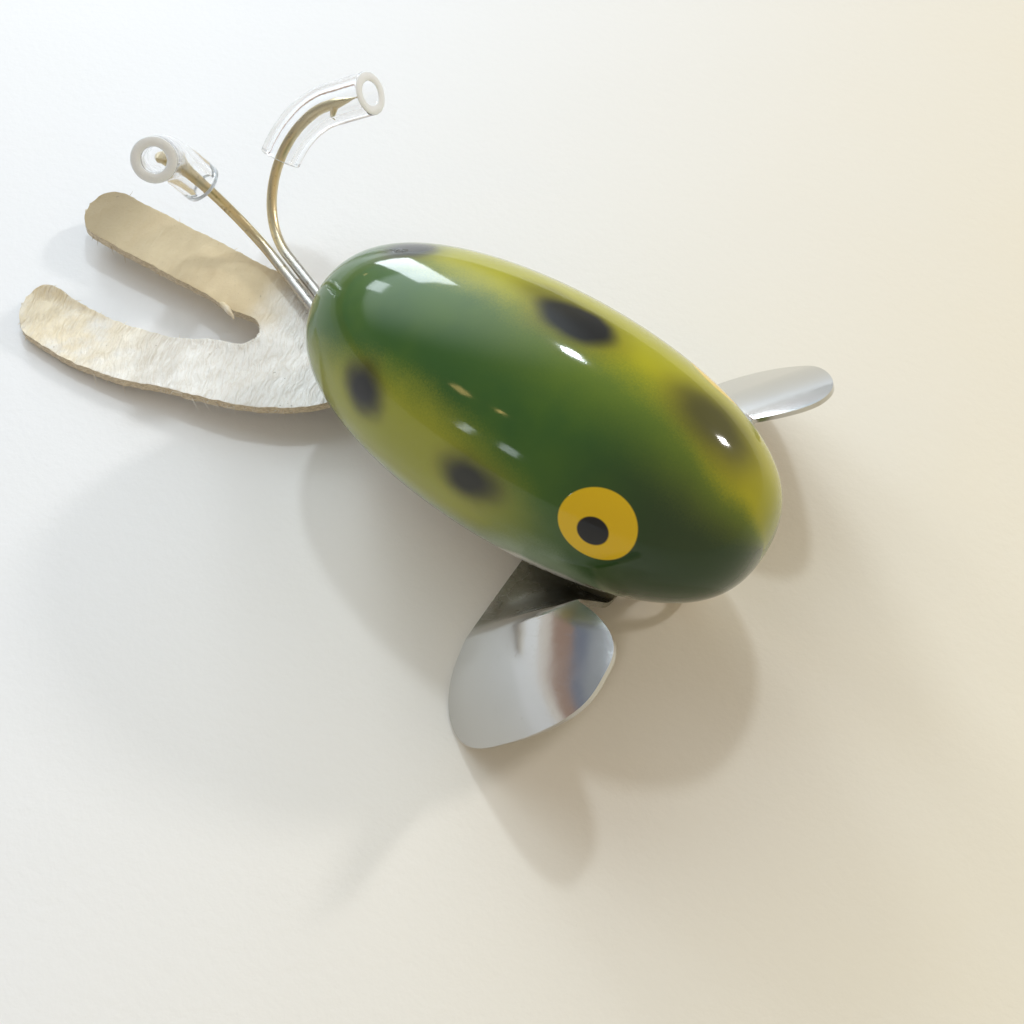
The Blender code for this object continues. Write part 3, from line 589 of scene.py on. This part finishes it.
for node in ("lower_washer", "upper_washer"):
    low, high = np.array(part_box(node)) / MM
    profile = ring_profile(WASHER_HOLE, (high[0] - low[0]) / 2, low[2], high[2], WASHER_ROUNDING)
    fasten(spun_ring(node + "_punched", profile, PIVOT), brass, "lure", node)

# Line tie
# A screw eye turned up into the chin: one brass wire, straight where it bites the wood and curled
# into a ring that stops short of its own stem.
TIE_WIRE, TIE_RING, TIE_GAP = 1.0, 1.7, math.radians(50)
# Where the bend from stem to ring starts and stops, and the height of the corner that it rounds
NECK_ABOVE, NECK_TURN, NECK_CORNER = 0.9, 0.42, 0.1
tie_low, tie_high = np.array(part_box("line_tie")) / MM
stem_x = (tie_low[0] + tie_high[0]) / 2
ring_middle = np.array([stem_x, 0.0, tie_low[2] + TIE_RING + TIE_WIRE / 2])


def swept(path, radius, sides=24):
    """Rings of a round bar along a path: at each point a circle square to the path, turned as little as
    possible from the one before, with one radius or its own."""
    ahead = unit(np.gradient(path, axis=0))
    normal = np.empty_like(path)
    trial = np.cross(ahead[0], [0.3, 0.5, 0.8])
    for i, direction in enumerate(ahead):
        trial = trial - direction * (trial @ direction)
        trial /= np.linalg.norm(trial)
        normal[i] = trial
    beside = np.cross(ahead, normal)
    spin = np.linspace(0, math.tau, sides, endpoint=False)[None, :, None]
    circle = np.cos(spin) * normal[:, None] + np.sin(spin) * beside[:, None]
    return path[:, None] + np.asarray(radius, float).reshape(-1, 1, 1) * circle


ring_top = ring_middle[2] + TIE_RING
stem = joined(stem_x, 0.0, np.linspace(tie_high[2], ring_top + NECK_ABOVE, 12))
bend = np.linspace(NECK_TURN, math.tau - TIE_GAP, 70)
ring_path = ring_middle + TIE_RING * joined(np.sin(bend), 0.0, np.cos(bend))
neck_share = np.linspace(0, 1, 12)[1:-1, None]
neck_corner = np.array([stem_x, 0.0, ring_top + NECK_CORNER])
neck = ((1 - neck_share) ** 2 * stem[-1] + 2 * neck_share * (1 - neck_share) * neck_corner
        + neck_share ** 2 * ring_path[0])
tie = closed_skin("line_tie_wire", swept(np.concatenate([stem, neck, ring_path]), TIE_WIRE / 2))
fasten(tie, brass, "lure", "line_tie")

# Double hook
# One length of tinned wire: a loop round the tail screw, two shanks soldered side by side, and two
# bends that splay apart and end in barbed points. The tin has worn and tarnished to a warm grey.
HOOK_WIRE, HOOK_SHANK, HOOK_SHANK_GAP, HOOK_BEND = 0.6, 18.4, 0.15, 9.46
HOOK_BEND_ANGLE, HOOK_POINT, HOOK_YAW = math.radians(133.5), 3.9, math.radians(18.5)
HOOK_SPLAY = {"left": math.radians(43.8), "right": math.radians(28.6)}
LOOP_RADIUS, LOOP_CLEAR, POINT_TAPER = 2.0, 0.5, 2.7
BARB_FROM_POINT, BARB_REACH, BARB_BACK, BARB_ROOT, BARB_THINS = 3.0, 1.25, 0.45, 0.46, 0.20
SHANK_OUT = HOOK_WIRE + HOOK_SHANK_GAP
HOOK_BACK = np.array([-math.cos(HOOK_YAW), math.sin(HOOK_YAW), 0.0])
HOOK_LEFT = np.array([math.sin(HOOK_YAW), math.cos(HOOK_YAW), 0.0])
loop_turn = math.asin(SHANK_OUT / LOOP_RADIUS)


def branch(side, splay):
    """Wire centre of one branch: straight shank, round bend in a splayed plane, straight run to the point."""
    rise = math.cos(splay) * UPWARD + side * math.sin(splay) * HOOK_LEFT
    start = PIVOT + side * SHANK_OUT * HOOK_LEFT
    shank_from = LOOP_RADIUS * math.cos(loop_turn) + LOOP_CLEAR
    shank = start + np.linspace(shank_from, HOOK_SHANK, 30)[:-1, None] * HOOK_BACK
    bend = np.linspace(0, HOOK_BEND_ANGLE, 80)[:, None]
    curve = (start + (HOOK_SHANK + HOOK_BEND * np.sin(bend)) * HOOK_BACK
             + HOOK_BEND * (1 - np.cos(bend)) * rise)
    c, s = math.cos(HOOK_BEND_ANGLE), math.sin(HOOK_BEND_ANGLE)
    ahead, inside = c * HOOK_BACK + s * rise, c * rise - s * HOOK_BACK
    point = curve[-1] + np.linspace(0, HOOK_POINT, 26)[1:, None] * ahead
    return np.concatenate([shank, curve, point]), ahead, inside


def distance_along(path):
    """How far each point of a path is from its start."""
    return np.concatenate([[0], np.linalg.norm(np.diff(path, axis=0), axis=1).cumsum()])


branches = {"left": branch(1, HOOK_SPLAY["left"]), "right": branch(-1, HOOK_SPLAY["right"])}
around = np.linspace(loop_turn, math.tau - loop_turn, 60)[:, None]
loop = PIVOT + LOOP_RADIUS * (np.cos(around) * HOOK_BACK + np.sin(around) * HOOK_LEFT)
hook_path = np.concatenate([branches["left"][0][::-1], loop, branches["right"][0]])
to_end = distance_along(hook_path)
to_end = np.minimum(to_end, to_end[-1] - to_end)
hook_radius = HOOK_WIRE * np.clip(to_end / POINT_TAPER, 0.1, 1) ** 0.8
hook_wire = closed_skin("hook_wire", swept(hook_path, hook_radius))

wire = Finish("tarnished_wire", Metallic=1.0)
wire_place = wire.place(PIVOT * MM, (0, 0, -HOOK_YAW))
along_hook, _, _ = wire.axes(wire_place)
dark = wire.noise(wire_place, 0.7, 5.0, 0.65)
pit = wire.noise(wire_place, 5.0, 4.0, 0.7)
patchy = wire.between(wire.noise(wire_place, 0.5), -4.0, 4.0)
golden = wire.ramp(wire.math("ADD", along_hook, patchy), -15.0, -22.0)
wire_colour = wire.mix(golden, (0.56, 0.54, 0.50), (0.63, 0.54, 0.35))
wire.set(Base_Color=wire.mix(wire.ramp(dark, 0.56, 0.74), wire_colour, (0.24, 0.17, 0.10)),
         Roughness=wire.between(dark, 0.16, 0.46), Normal=wire.bump(pit, 0.018))
fasten(hook_wire, wire, "hook", "double_hook")
for side, (path, ahead, inside) in branches.items():
    root = path[-1] - ahead * BARB_FROM_POINT
    lift = np.linspace(0, 1, 14)[:, None]
    barb_path = root + lift * inside * BARB_REACH - lift ** 1.4 * ahead * BARB_BACK
    barb = closed_skin(f"barb_{side}", swept(barb_path, BARB_ROOT - BARB_THINS * lift[:, 0] ** 2, 16))
    fasten(barb, wire, "hook")

# The lump of solder that ties the two shanks: a flattened ball with an uneven skin
SOLDER_AT, SOLDER_LENGTH, SOLDER_WIDE, SOLDER_TALL = 7.4, 1.7, 1.32, 0.60
lat = np.linspace(-math.pi / 2, math.pi / 2, 30)[1:-1, None, None]
lon = np.linspace(0, math.tau, 48, endpoint=False)[None, :, None]
lump = 1 + 0.07 * np.sin(3 * lon + 1.0) * np.cos(lat) + 0.05 * np.sin(5 * lat + 2 * lon)
solder_grid = (PIVOT + SOLDER_AT * HOOK_BACK + SOLDER_LENGTH * np.sin(lat) * HOOK_BACK
               + lump * np.cos(lat) ** 0.7 * (SOLDER_WIDE * np.cos(lon) * HOOK_LEFT
                                              + SOLDER_TALL * np.sin(lon) * UPWARD))
solder = closed_skin("shank_solder", solder_grid)
tin = Finish("solder_tin", Metallic=1.0)
frost = tin.noise(tin.place(), 1.2, 4.0, 0.6)
tin.set(Base_Color=tin.mix(tin.ramp(frost, 0.35, 0.7), (0.68, 0.67, 0.64), (0.36, 0.33, 0.28)),
        Roughness=tin.between(frost, 0.25, 0.5), Normal=tin.bump(frost, 0.06))
fasten(solder, tin, "hook")

# Tube guards
# Short lengths of clear soft tubing cut from a coil and pushed over the points so that they can't scratch.
# The bore holds the wire and barb loosely, and the cut ends are frosted by the knife.
GUARD_RADIUS, GUARD_BORE, GUARD_LENGTH, GUARD_PAST_POINT = 2.35, 1.3, 15.5, 2.0
GUARD_ROWS, GUARD_SIDES, LIP_SHARE, LIP_STEP, CUT_FROM = 60, 64, 0.12, 0.4, 0.01
clear = Finish("clear_tube", Base_Color=(0.985, 0.99, 0.995), IOR=1.36, Transmission_Weight=1.0)
tube_place = clear.place()
clear.set(Roughness=clear.between(clear.noise(tube_place, 0.8), 0.0, 0.10),
          Normal=clear.bump(clear.noise(tube_place, 0.45, 3.0), 0.03))
cut = Finish("cut_tube_end", Roughness=0.5, IOR=1.36, Transmission_Weight=0.12)
knife = cut.noise(cut.place(), 4.0, 4.0, 0.7)
cut.set(Base_Color=cut.mix(knife, (0.84, 0.89, 0.96), (0.95, 0.97, 1.0)), Normal=cut.bump(knife, 0.04))


def lip(edge, other_edge, past_end):
    """Ring a small share of the way from one edge of a cut end to the other, and a little past the end."""
    return edge + (other_edge - edge) * LIP_SHARE + past_end * LIP_STEP


for side, (path, ahead, inside) in branches.items():
    run = np.concatenate([path, path[-1] + np.linspace(0, GUARD_PAST_POINT, 14)[1:, None] * ahead])
    reach = distance_along(run)
    stations = np.linspace(reach[-1] - GUARD_LENGTH, reach[-1], GUARD_ROWS)
    run = np.stack([np.interp(stations, reach, run[:, k]) for k in range(3)], -1)
    outer, bore = swept(run, GUARD_RADIUS, GUARD_SIDES), swept(run, GUARD_BORE, GUARD_SIDES)
    past_near, past_far = run[0] - run[1], run[-1] - run[-2]
    wall = np.concatenate([outer, lip(outer[-1:], bore[-1:], past_far), lip(bore[-1:], outer[-1:], past_far),
                           bore[::-1], lip(bore[:1], outer[:1], past_near),
                           lip(outer[:1], bore[:1], past_near), outer[:1]])
    tube = piece(f"clear_tube_{side}", wall, grid_faces(len(wall), GUARD_SIDES, True))
    fasten(tube, clear, "hook", f"tube_guard_{side}")
    tube.data.materials.append(cut.material)
    centres = np.empty(len(tube.data.polygons) * 3, np.float32)
    tube.data.polygons.foreach_get("center", centres)
    centres = centres.reshape(-1, 3) / MM
    past = np.maximum((centres - run[-1]) @ ahead, (centres - run[0]) @ unit(past_near))
    tube.data.polygons.foreach_set("material_index", (past > CUT_FROM).astype(np.int32))

# Tail
# One piece of soft leather cut to a rounded ear and two legs, hung on the tail screw by a punched hole.
# The root and right leg keep a wrinkled pearly coat, and the left leg is coloured a darker, matt tan.
# The cut edges are furry.
LEATHER, TAIL_LENGTH, EAR, NOTCH, NOTCH_HALF = 1.0, 41.4, 3.9, 13.4, 2.0
LEG_HALF, TAIL_YAW, TAIL_HOLE = 3.6, math.radians(14.3), 1.4
TAIL_FULL, TAIL_FLARE = {1: 9.3, -1: 10.4}, {1: 4.4, -1: 5.5}
LEG_SPREAD = {1: math.radians(9.0), -1: math.radians(16.0)}
TAIL_BOW, TAIL_TIP = {1: 0.0, -1: 8.6}, {1: 2.9, -1: 0.9}
TAIL_SAG, TAIL_CUP, TAIL_EDGE_ROUNDING = 0.4, 0.10, 0.22
TAIL_BACK = np.array([-math.cos(TAIL_YAW), -math.sin(TAIL_YAW), 0.0])
TAIL_LEFT = np.array([-math.sin(TAIL_YAW), math.cos(TAIL_YAW), 0.0])
tail_pivot = np.array(frame["record"]["behaviour"]["joints"][1]["pos_m"]) / MM
LEG_OUT, LEG_ROOT = NOTCH_HALF + LEG_HALF, NOTCH + NOTCH_HALF


def smooth(share):
    """0 to 1 with level ends as share goes from 0 to 1."""
    share = np.clip(share, 0, 1)
    return share * share * (3 - 2 * share)


def leg_middle(side, s):
    """Sideways place of a leg: out from the fork at its own angle, the right one bowed back in."""
    run = np.clip(s - LEG_ROOT, 0, None)
    bow = TAIL_BOW[side] * (run / (TAIL_LENGTH - LEG_ROOT)) ** 2
    return LEG_OUT + run * math.tan(LEG_SPREAD[side]) - bow


def cut_wobble(s, seed):
    """Small unevenness of the scissor cut along an edge."""
    return (0.03 * np.sin(2.3 * s + seed) + 0.025 * np.sin(5.1 * s + 2 * seed)
            + 0.04 * np.sin(0.9 * s + 3 * seed))


def tail_edges(side, s):
    """Inner and outer edge of one half at distance s from the screw: round ear and punched hole, then a
    flare, the fork and the round tip, blended one into the next."""
    flare = EAR + (TAIL_FULL[side] - EAR) * (1 - np.exp(-np.clip(s, 0, None) / TAIL_FLARE[side]))
    outer = np.where(s < 0, np.sqrt(np.clip(EAR ** 2 - s * s, 0, None)), flare)
    inner = np.sqrt(np.clip(TAIL_HOLE ** 2 - s * s, 0, None))
    notch = np.clip((s - NOTCH) / NOTCH_HALF, 0, 1)
    inner = np.where(s > NOTCH, NOTCH_HALF * np.sqrt(1 - (1 - notch) ** 2), inner)
    tip = np.clip((s - (TAIL_LENGTH - LEG_HALF)) / LEG_HALF, 0, 1)
    width = LEG_HALF * np.sqrt(np.clip(1 - tip * tip, 0, None))
    leg = smooth((s - LEG_ROOT) / 6.0)
    inner = np.where(s > LEG_ROOT, (1 - leg) * inner + leg * (leg_middle(side, s) - width), inner)
    outer = np.where(s > LEG_ROOT, (1 - leg) * outer + leg * (leg_middle(side, s) + width), outer)
    near_tip = smooth((TAIL_LENGTH - s) / 2)
    inner = inner + smooth((s - LEG_ROOT) / 2) * near_tip * cut_wobble(s, 1.0 + side)
    return inner, outer + smooth(s / 4) * near_tip * cut_wobble(s, 2.5 + side)


def creases(s, y):
    """Low buckles of the leather: a few slanted waves of unlike length, stronger toward the right leg."""
    waves = (np.sin(1.9 * s + 0.9 * y) * np.sin(0.7 * y - 0.31 * s + 1.0)
             + 0.7 * np.sin(3.3 * s - 1.7 * y + 2.0) * np.sin(0.45 * s + 0.8 * y))
    return 0.03 * waves * (1.25 - 0.85 * smooth(y / 4 + 0.5))


def tail_surface(side, s, across):
    """Middle of the leather at distance s from the screw and a share across one half: it falls from the screw
    to the leg's own tip height, sags between, cups a little across each leg and buckles."""
    inner, outer = tail_edges(side, s)
    y = side * (inner + (outer - inner) * across)
    run = np.clip((s - EAR) / (TAIL_LENGTH - EAR), 0, 1)
    mean_tip = (TAIL_TIP[1] + TAIL_TIP[-1]) / 2
    tip_height = mean_tip + (TAIL_TIP[side] - mean_tip) * smooth(np.abs(y) / 4)
    z = tail_pivot[2] + (tip_height - tail_pivot[2]) * smooth(run) - TAIL_SAG * np.sin(math.pi * run)
    z = z + creases(s, y) * smooth((s - 3.0) / 4) + TAIL_CUP * smooth((s - 8) / 6) * (2 * across - 1) ** 2
    return joined(tail_pivot[0] + s * TAIL_BACK[0] + y * TAIL_LEFT[0], s * TAIL_BACK[1] + y * TAIL_LEFT[1], z)


HALF_COLUMNS = 30
ear_rows = -EAR * np.cos(np.linspace(0, math.pi / 2, 14))[:-1]
hole_rows = np.linspace(0, TAIL_HOLE, 10)
ear_rows = np.concatenate([ear_rows[ear_rows < -TAIL_HOLE], -hole_rows[:0:-1], hole_rows])
notch_rows = NOTCH + NOTCH_HALF * (1 - np.cos(np.linspace(0, math.pi / 2, 16)))
tip_rows = TAIL_LENGTH - LEG_HALF * (1 - np.sin(np.linspace(0, math.pi / 2 - 0.14, 24)))
rows = np.concatenate([ear_rows, np.linspace(TAIL_HOLE, NOTCH, 40)[1:-1], notch_rows,
                       np.linspace(LEG_ROOT, TAIL_LENGTH - LEG_HALF, 90)[1:-1], tip_rows])[:, None]
across = np.linspace(0, 1, HALF_COLUMNS + 1)[None, :]
halves = [tail_surface(side, rows, across) for side in (1, -1)]
half_faces = [grid_faces(len(rows), HALF_COLUMNS + 1, False, start) for start in (0, halves[0][..., 0].size)]
leather_tail = piece("leather_tail", np.stack(halves), half_faces[0] + half_faces[1])
thick, _ = thicken(leather_tail, LEATHER, TAIL_EDGE_ROUNDING, 50)
thick.material_offset_rim = 1

hide = Finish("pearl_leather", Sheen_Weight=0.15, Sheen_Roughness=0.5)
hide_place = hide.place((tail_pivot[0] * MM, 0.0, 0.0), (0, 0, TAIL_YAW))
hx, hy, _ = hide.axes(hide_place)
wander = hide.between(hide.noise(hide_place, 0.25), -2.6, 2.6)
tan_side = hide.both(hide.ramp(hide.math("ADD", hy, wander), -0.6, 2.2),
                     hide.ramp(hide.math("ADD", hx, wander), -10.0, -17.0))
mottle = hide.noise(hide_place, 0.35, 6.0, 0.62)
grain = hide.noise(hide_place, 3.2, 5.0, 0.65)
sway = hide.noise(hide_place, 0.18, 2.0, 0.5, result="Color")
bowed = hide.vector("MULTIPLY_ADD", sway, (2.5, 2.5, 2.5), hide_place)
slanted = hide.within(bowed, (0, 0, 0), (0, 0, 0.25), (1, 1, 1))
wrinkle = hide.noise(slanted, 1.15, 4.0, 0.55, (0.62, 3.6, 1.0))
fold = hide.ramp(hide.math("ABSOLUTE", hide.math("SUBTRACT", wrinkle, 0.5)), 0.06, 0.0)
toward_tip = hide.ramp(hx, -18.0, -36.0)
pearl = hide.mix(mottle, (0.70, 0.67, 0.62), (0.86, 0.84, 0.80))
pearl = hide.mix(hide.both(toward_tip, hide.ramp(mottle, 0.20, 0.60)), pearl, (0.76, 0.65, 0.45))
pearl = hide.mix(hide.both(fold, 0.30), pearl, (0.56, 0.47, 0.35))
tan_leg = hide.mix(mottle, (0.56, 0.44, 0.26), (0.74, 0.62, 0.40))
tan_leg = hide.mix(hide.both(hide.ramp(hx, -29.0, -39.0), 0.75), tan_leg, (0.26, 0.20, 0.10))
tan_leg = hide.mix(hide.both(hide.ramp(grain, 0.60, 0.75), 0.4), tan_leg, (0.34, 0.26, 0.15))
fleck = hide.both(hide.ramp(hide.noise(hide_place, 1.3, 3.0, 0.6), 0.70, 0.74), 0.7)
hide_colour = hide.mix(fleck, hide.mix(tan_side, pearl, tan_leg), (0.22, 0.18, 0.12))
relief = hide.bump(hide.noise(hide_place, 0.8, 3.0), 0.045)
relief = hide.bump(hide.both(wrinkle, hide.between(tan_side, 1.0, 0.25)), 0.27, relief)
hide.set(Base_Color=hide_colour, Roughness=hide.between(tan_side, 0.30, 0.66),
         Normal=hide.bump(grain, 0.022, relief))
fasten(leather_tail, hide, "tail", "tail")
suede = Finish("cut_leather_edge", Roughness=0.85, Sheen_Weight=0.3, Sheen_Roughness=0.6)
fibre = suede.noise(suede.place(turn=(0, 0, TAIL_YAW)), 2.2, 4.0, 0.7, (1.0, 1.0, 0.35))
suede.set(Base_Color=suede.mix(suede.ramp(fibre, 0.3, 0.7), (0.42, 0.33, 0.21), (0.78, 0.68, 0.51)),
          Normal=suede.bump(fibre, 0.12))
leather_tail.data.materials.append(suede.material)

# A sliver torn loose at the fork, and the fibres that stand out of the cut edges
CURL_FROM, CURL_RUN = 19.4, 3.0
torn = np.linspace(0, 1, 24)
curl_path = tail_surface(1, CURL_FROM - CURL_RUN * torn, np.zeros(24))
curl_path += joined(0.25 * torn, -1.5 * torn ** 1.3, 0.35 + 0.9 * np.sin(2.2 * torn))
torn_curl = closed_skin("torn_curl", swept(curl_path, 0.36 - 0.20 * np.abs(2 * torn - 0.8) ** 2, 14))
FIBRES, FIBRE_POINTS, FIBRE_SIDES, FIBRE_RADIUS = 150, 7, 5, 0.035
FIBRE_FROM, FIBRE_SPAN = 4.0, 36.0
draw = np.random.default_rng(5)
fibre_side = np.where(draw.random(FIBRES) < 0.7, -1, 1)
fibre_s = FIBRE_FROM + FIBRE_SPAN * draw.random(FIBRES)
fibre_share = np.where((fibre_s > LEG_ROOT + 5) & (draw.random(FIBRES) < 0.35), 0.0, 1.0)
reach = np.linspace(0, 1, FIBRE_POINTS)[:, None]
fibre_length = 0.25 + 0.65 * draw.random(FIBRES) ** 2
fibre_lean, fibre_lift = draw.normal(0, 0.7, FIBRES), draw.normal(-0.1, 0.45, FIBRES)
fibre_drop = draw.uniform(-0.42, 0.30, FIBRES)
fibre_points, fibre_faces = [], []
for i in range(FIBRES):
    root = tail_surface(int(fibre_side[i]), np.array(fibre_s[i]), np.array(fibre_share[i]))
    heading = fibre_side[i] * (1 if fibre_share[i] else -1) * TAIL_LEFT
    heading = heading + np.array([fibre_lean[i], 0.0, fibre_lift[i]])
    bow = np.array([0.5 * fibre_lean[i], 0, -0.2])
    path = root + [0, 0, fibre_drop[i]] + fibre_length[i] * (reach * heading + reach ** 2 * bow)
    grid = swept(path, FIBRE_RADIUS * (1.15 - reach[:, 0]), FIBRE_SIDES)
    fibre_faces += grid_faces(FIBRE_POINTS, FIBRE_SIDES, True, i * FIBRE_POINTS * FIBRE_SIDES)
    fibre_points.append(grid)
edge_fibres = piece("edge_fibres", np.stack(fibre_points), fibre_faces)
for made in (torn_curl, edge_fibres):
    fasten(made, hide, "tail")

# Stage
# A pale matt table in a room with windows behind the tail and beside the head, and a few small lamps.
# The table is painted a little warmer in front of the nose and cooler toward the tail: painted light for the
# window light falling off.
TABLE_HALF, WARM_TURN, LAMP_AIM_HEIGHT, LAMP_DISTANCE = 600.0, 0.30, 10, 1200.0
table_corners = TABLE_HALF * np.array([(-1, -1, 0), (1, -1, 0), (1, 1, 0), (-1, 1, 0)])
table = piece("table", table_corners, [(0, 1, 2, 3)])
board = Finish("table_paint_and_painted_light", Roughness=0.6)
board_place = board.place()
to_right, _, _ = board.axes(board.place(turn=(0, 0, WARM_TURN)))
# Painted light: the tint runs from cool near the windows to warm where their light falls off
pale = board.mix(board.ramp(to_right, -50.0, 90.0), (0.805, 0.815, 0.855), (0.765, 0.685, 0.535))
cloudy = board.both(board.noise(board_place, 0.05), 0.25)
board.set(Base_Color=board.mix(cloudy, pale, (0.76, 0.75, 0.73)),
          Normal=board.bump(board.noise(board_place, 0.9, 4.0, 0.6), 0.04))
board.dress(table)


def way_to(azimuth, elevation):
    """Direction from the lure: degrees from the nose round to its left, and degrees up."""
    turn, tip = math.radians(azimuth), math.radians(elevation)
    return np.array([math.cos(tip) * math.cos(turn), math.cos(tip) * math.sin(turn), math.sin(tip)])


def lamp(name, azimuth, elevation, across, tall, share, colour):
    """An area light that faces the lure and puts share of white on the table below it."""
    toward, beside = way_to(azimuth, elevation), way_to(azimuth + 90, 0)
    data = bpy.data.lights.new(name, "AREA")
    data.shape, data.size, data.size_y, data.color = "RECTANGLE", across * MM, tall * MM, colour
    data.energy = share * math.pi ** 2 * (LAMP_DISTANCE * MM) ** 2 / toward[2]
    made = link(name, data)
    place = (np.array([BODY_MIDDLE[0], 0, LAMP_AIM_HEIGHT]) + toward * LAMP_DISTANCE) * MM
    axes = np.stack([beside, np.cross(toward, beside), toward, place], 1)
    made.matrix_world = np.concatenate([axes, [[0, 0, 0, 1]]]).T.tolist()
    made.visible_camera = False


COOL, DAY, WARM = (0.84, 0.93, 1.0), (1.0, 0.97, 0.93), (1.0, 0.66, 0.25)
lamp("window_head", 68, 29.5, 80, 110, 0.13, DAY)
lamp("skylight", 121, 54, 84, 84, 0.15, COOL)
lamp("window_rear_left", 146, 18, 250, 520, 0.11, COOL)
lamp("window_rear_right", 169, 24, 180, 150, 0.02, COOL)
lamp("bulb_behind", 162, 12.5, 44, 16, 0.00022, WARM)
lamp("bulb_far", -129.5, 37.5, 76, 70, 0.0060, WARM)
lamp("bulb_near", -119.5, 43, 26, 44, 0.0030, WARM)
lamp("pane_far", -116.5, 17.5, 56, 130, 0.0036, COOL)
lamp("pane_near", -107, 22, 70, 110, 0.0042, COOL)

scene = bpy.context.scene
world = scene.world = bpy.data.worlds.new("room")
world.use_nodes = True
room = Nodes(world.node_tree)
toward_sky = room.node("TexCoord").outputs["Generated"]
room_x, _, room_z = room.axes(toward_sky)
air = room.mix(room.ramp(room_x, -0.3, 0.8), (0.32, 0.315, 0.31), (0.74, 0.63, 0.45))
# A wide soft glow of daylight behind the tail; the room's nose end is lit warmer
to_glow = room.vector("DOT_PRODUCT", toward_sky, tuple(way_to(158, 28)))
air = room.mix(room.ramp(to_glow, 0.72, 0.995), air, (2.30, 2.62, 2.80))
# Behind the tail the far wall is pale at the table's height, then brown, blue-grey and grey
far_wall = room.mix(room.ramp(room_z, 0.044, 0.060), (0.80, 0.76, 0.69), (0.40, 0.275, 0.215))
far_wall = room.mix(room.ramp(room_z, 0.145, 0.165), far_wall, (0.22, 0.25, 0.32))
far_wall = room.mix(room.ramp(room_z, 0.200, 0.235), far_wall, (0.36, 0.38, 0.40))
behind = room.both(room.ramp(room_x, -0.55, -0.85), room.ramp(room_z, 0.40, 0.34))
room.put(room.tree.nodes["Background"].inputs["Color"], room.mix(behind, air, far_wall))

# Camera
# It looks down on the lure from its right front quarter. Its place, aim, roll and lens are fitted to the
# body's outline and to the table.
CAMERA_AT = np.array([45.17, -63.90, 117.38])
CAMERA_AIM = np.array([-0.09, -2.97, 0.0])
CAMERA_ROLL, CAMERA_LENS, SENSOR_WIDTH, NEAR_CLIP = math.radians(0.98), 47.03, 36.0, 0.005
ahead = unit(CAMERA_AIM - CAMERA_AT)
level = unit(np.cross(ahead, UPWARD))
upright = np.cross(level, ahead)
right_hand = math.cos(CAMERA_ROLL) * level + math.sin(CAMERA_ROLL) * upright
top_side = math.cos(CAMERA_ROLL) * upright - math.sin(CAMERA_ROLL) * level
data = bpy.data.cameras.new("camera")
data.lens, data.sensor_width, data.clip_start = CAMERA_LENS, SENSOR_WIDTH, NEAR_CLIP
camera = link("camera", data)
camera_place = (CAMERA_AT + [BODY_MIDDLE[0], 0, 0]) * MM
camera.matrix_world = np.block([[np.stack([right_hand, top_side, -ahead], 1), camera_place[:, None]],
                                [np.zeros(3), np.ones(1)]]).T.tolist()
scene.camera = camera
scene.view_settings.view_transform = "Standard"
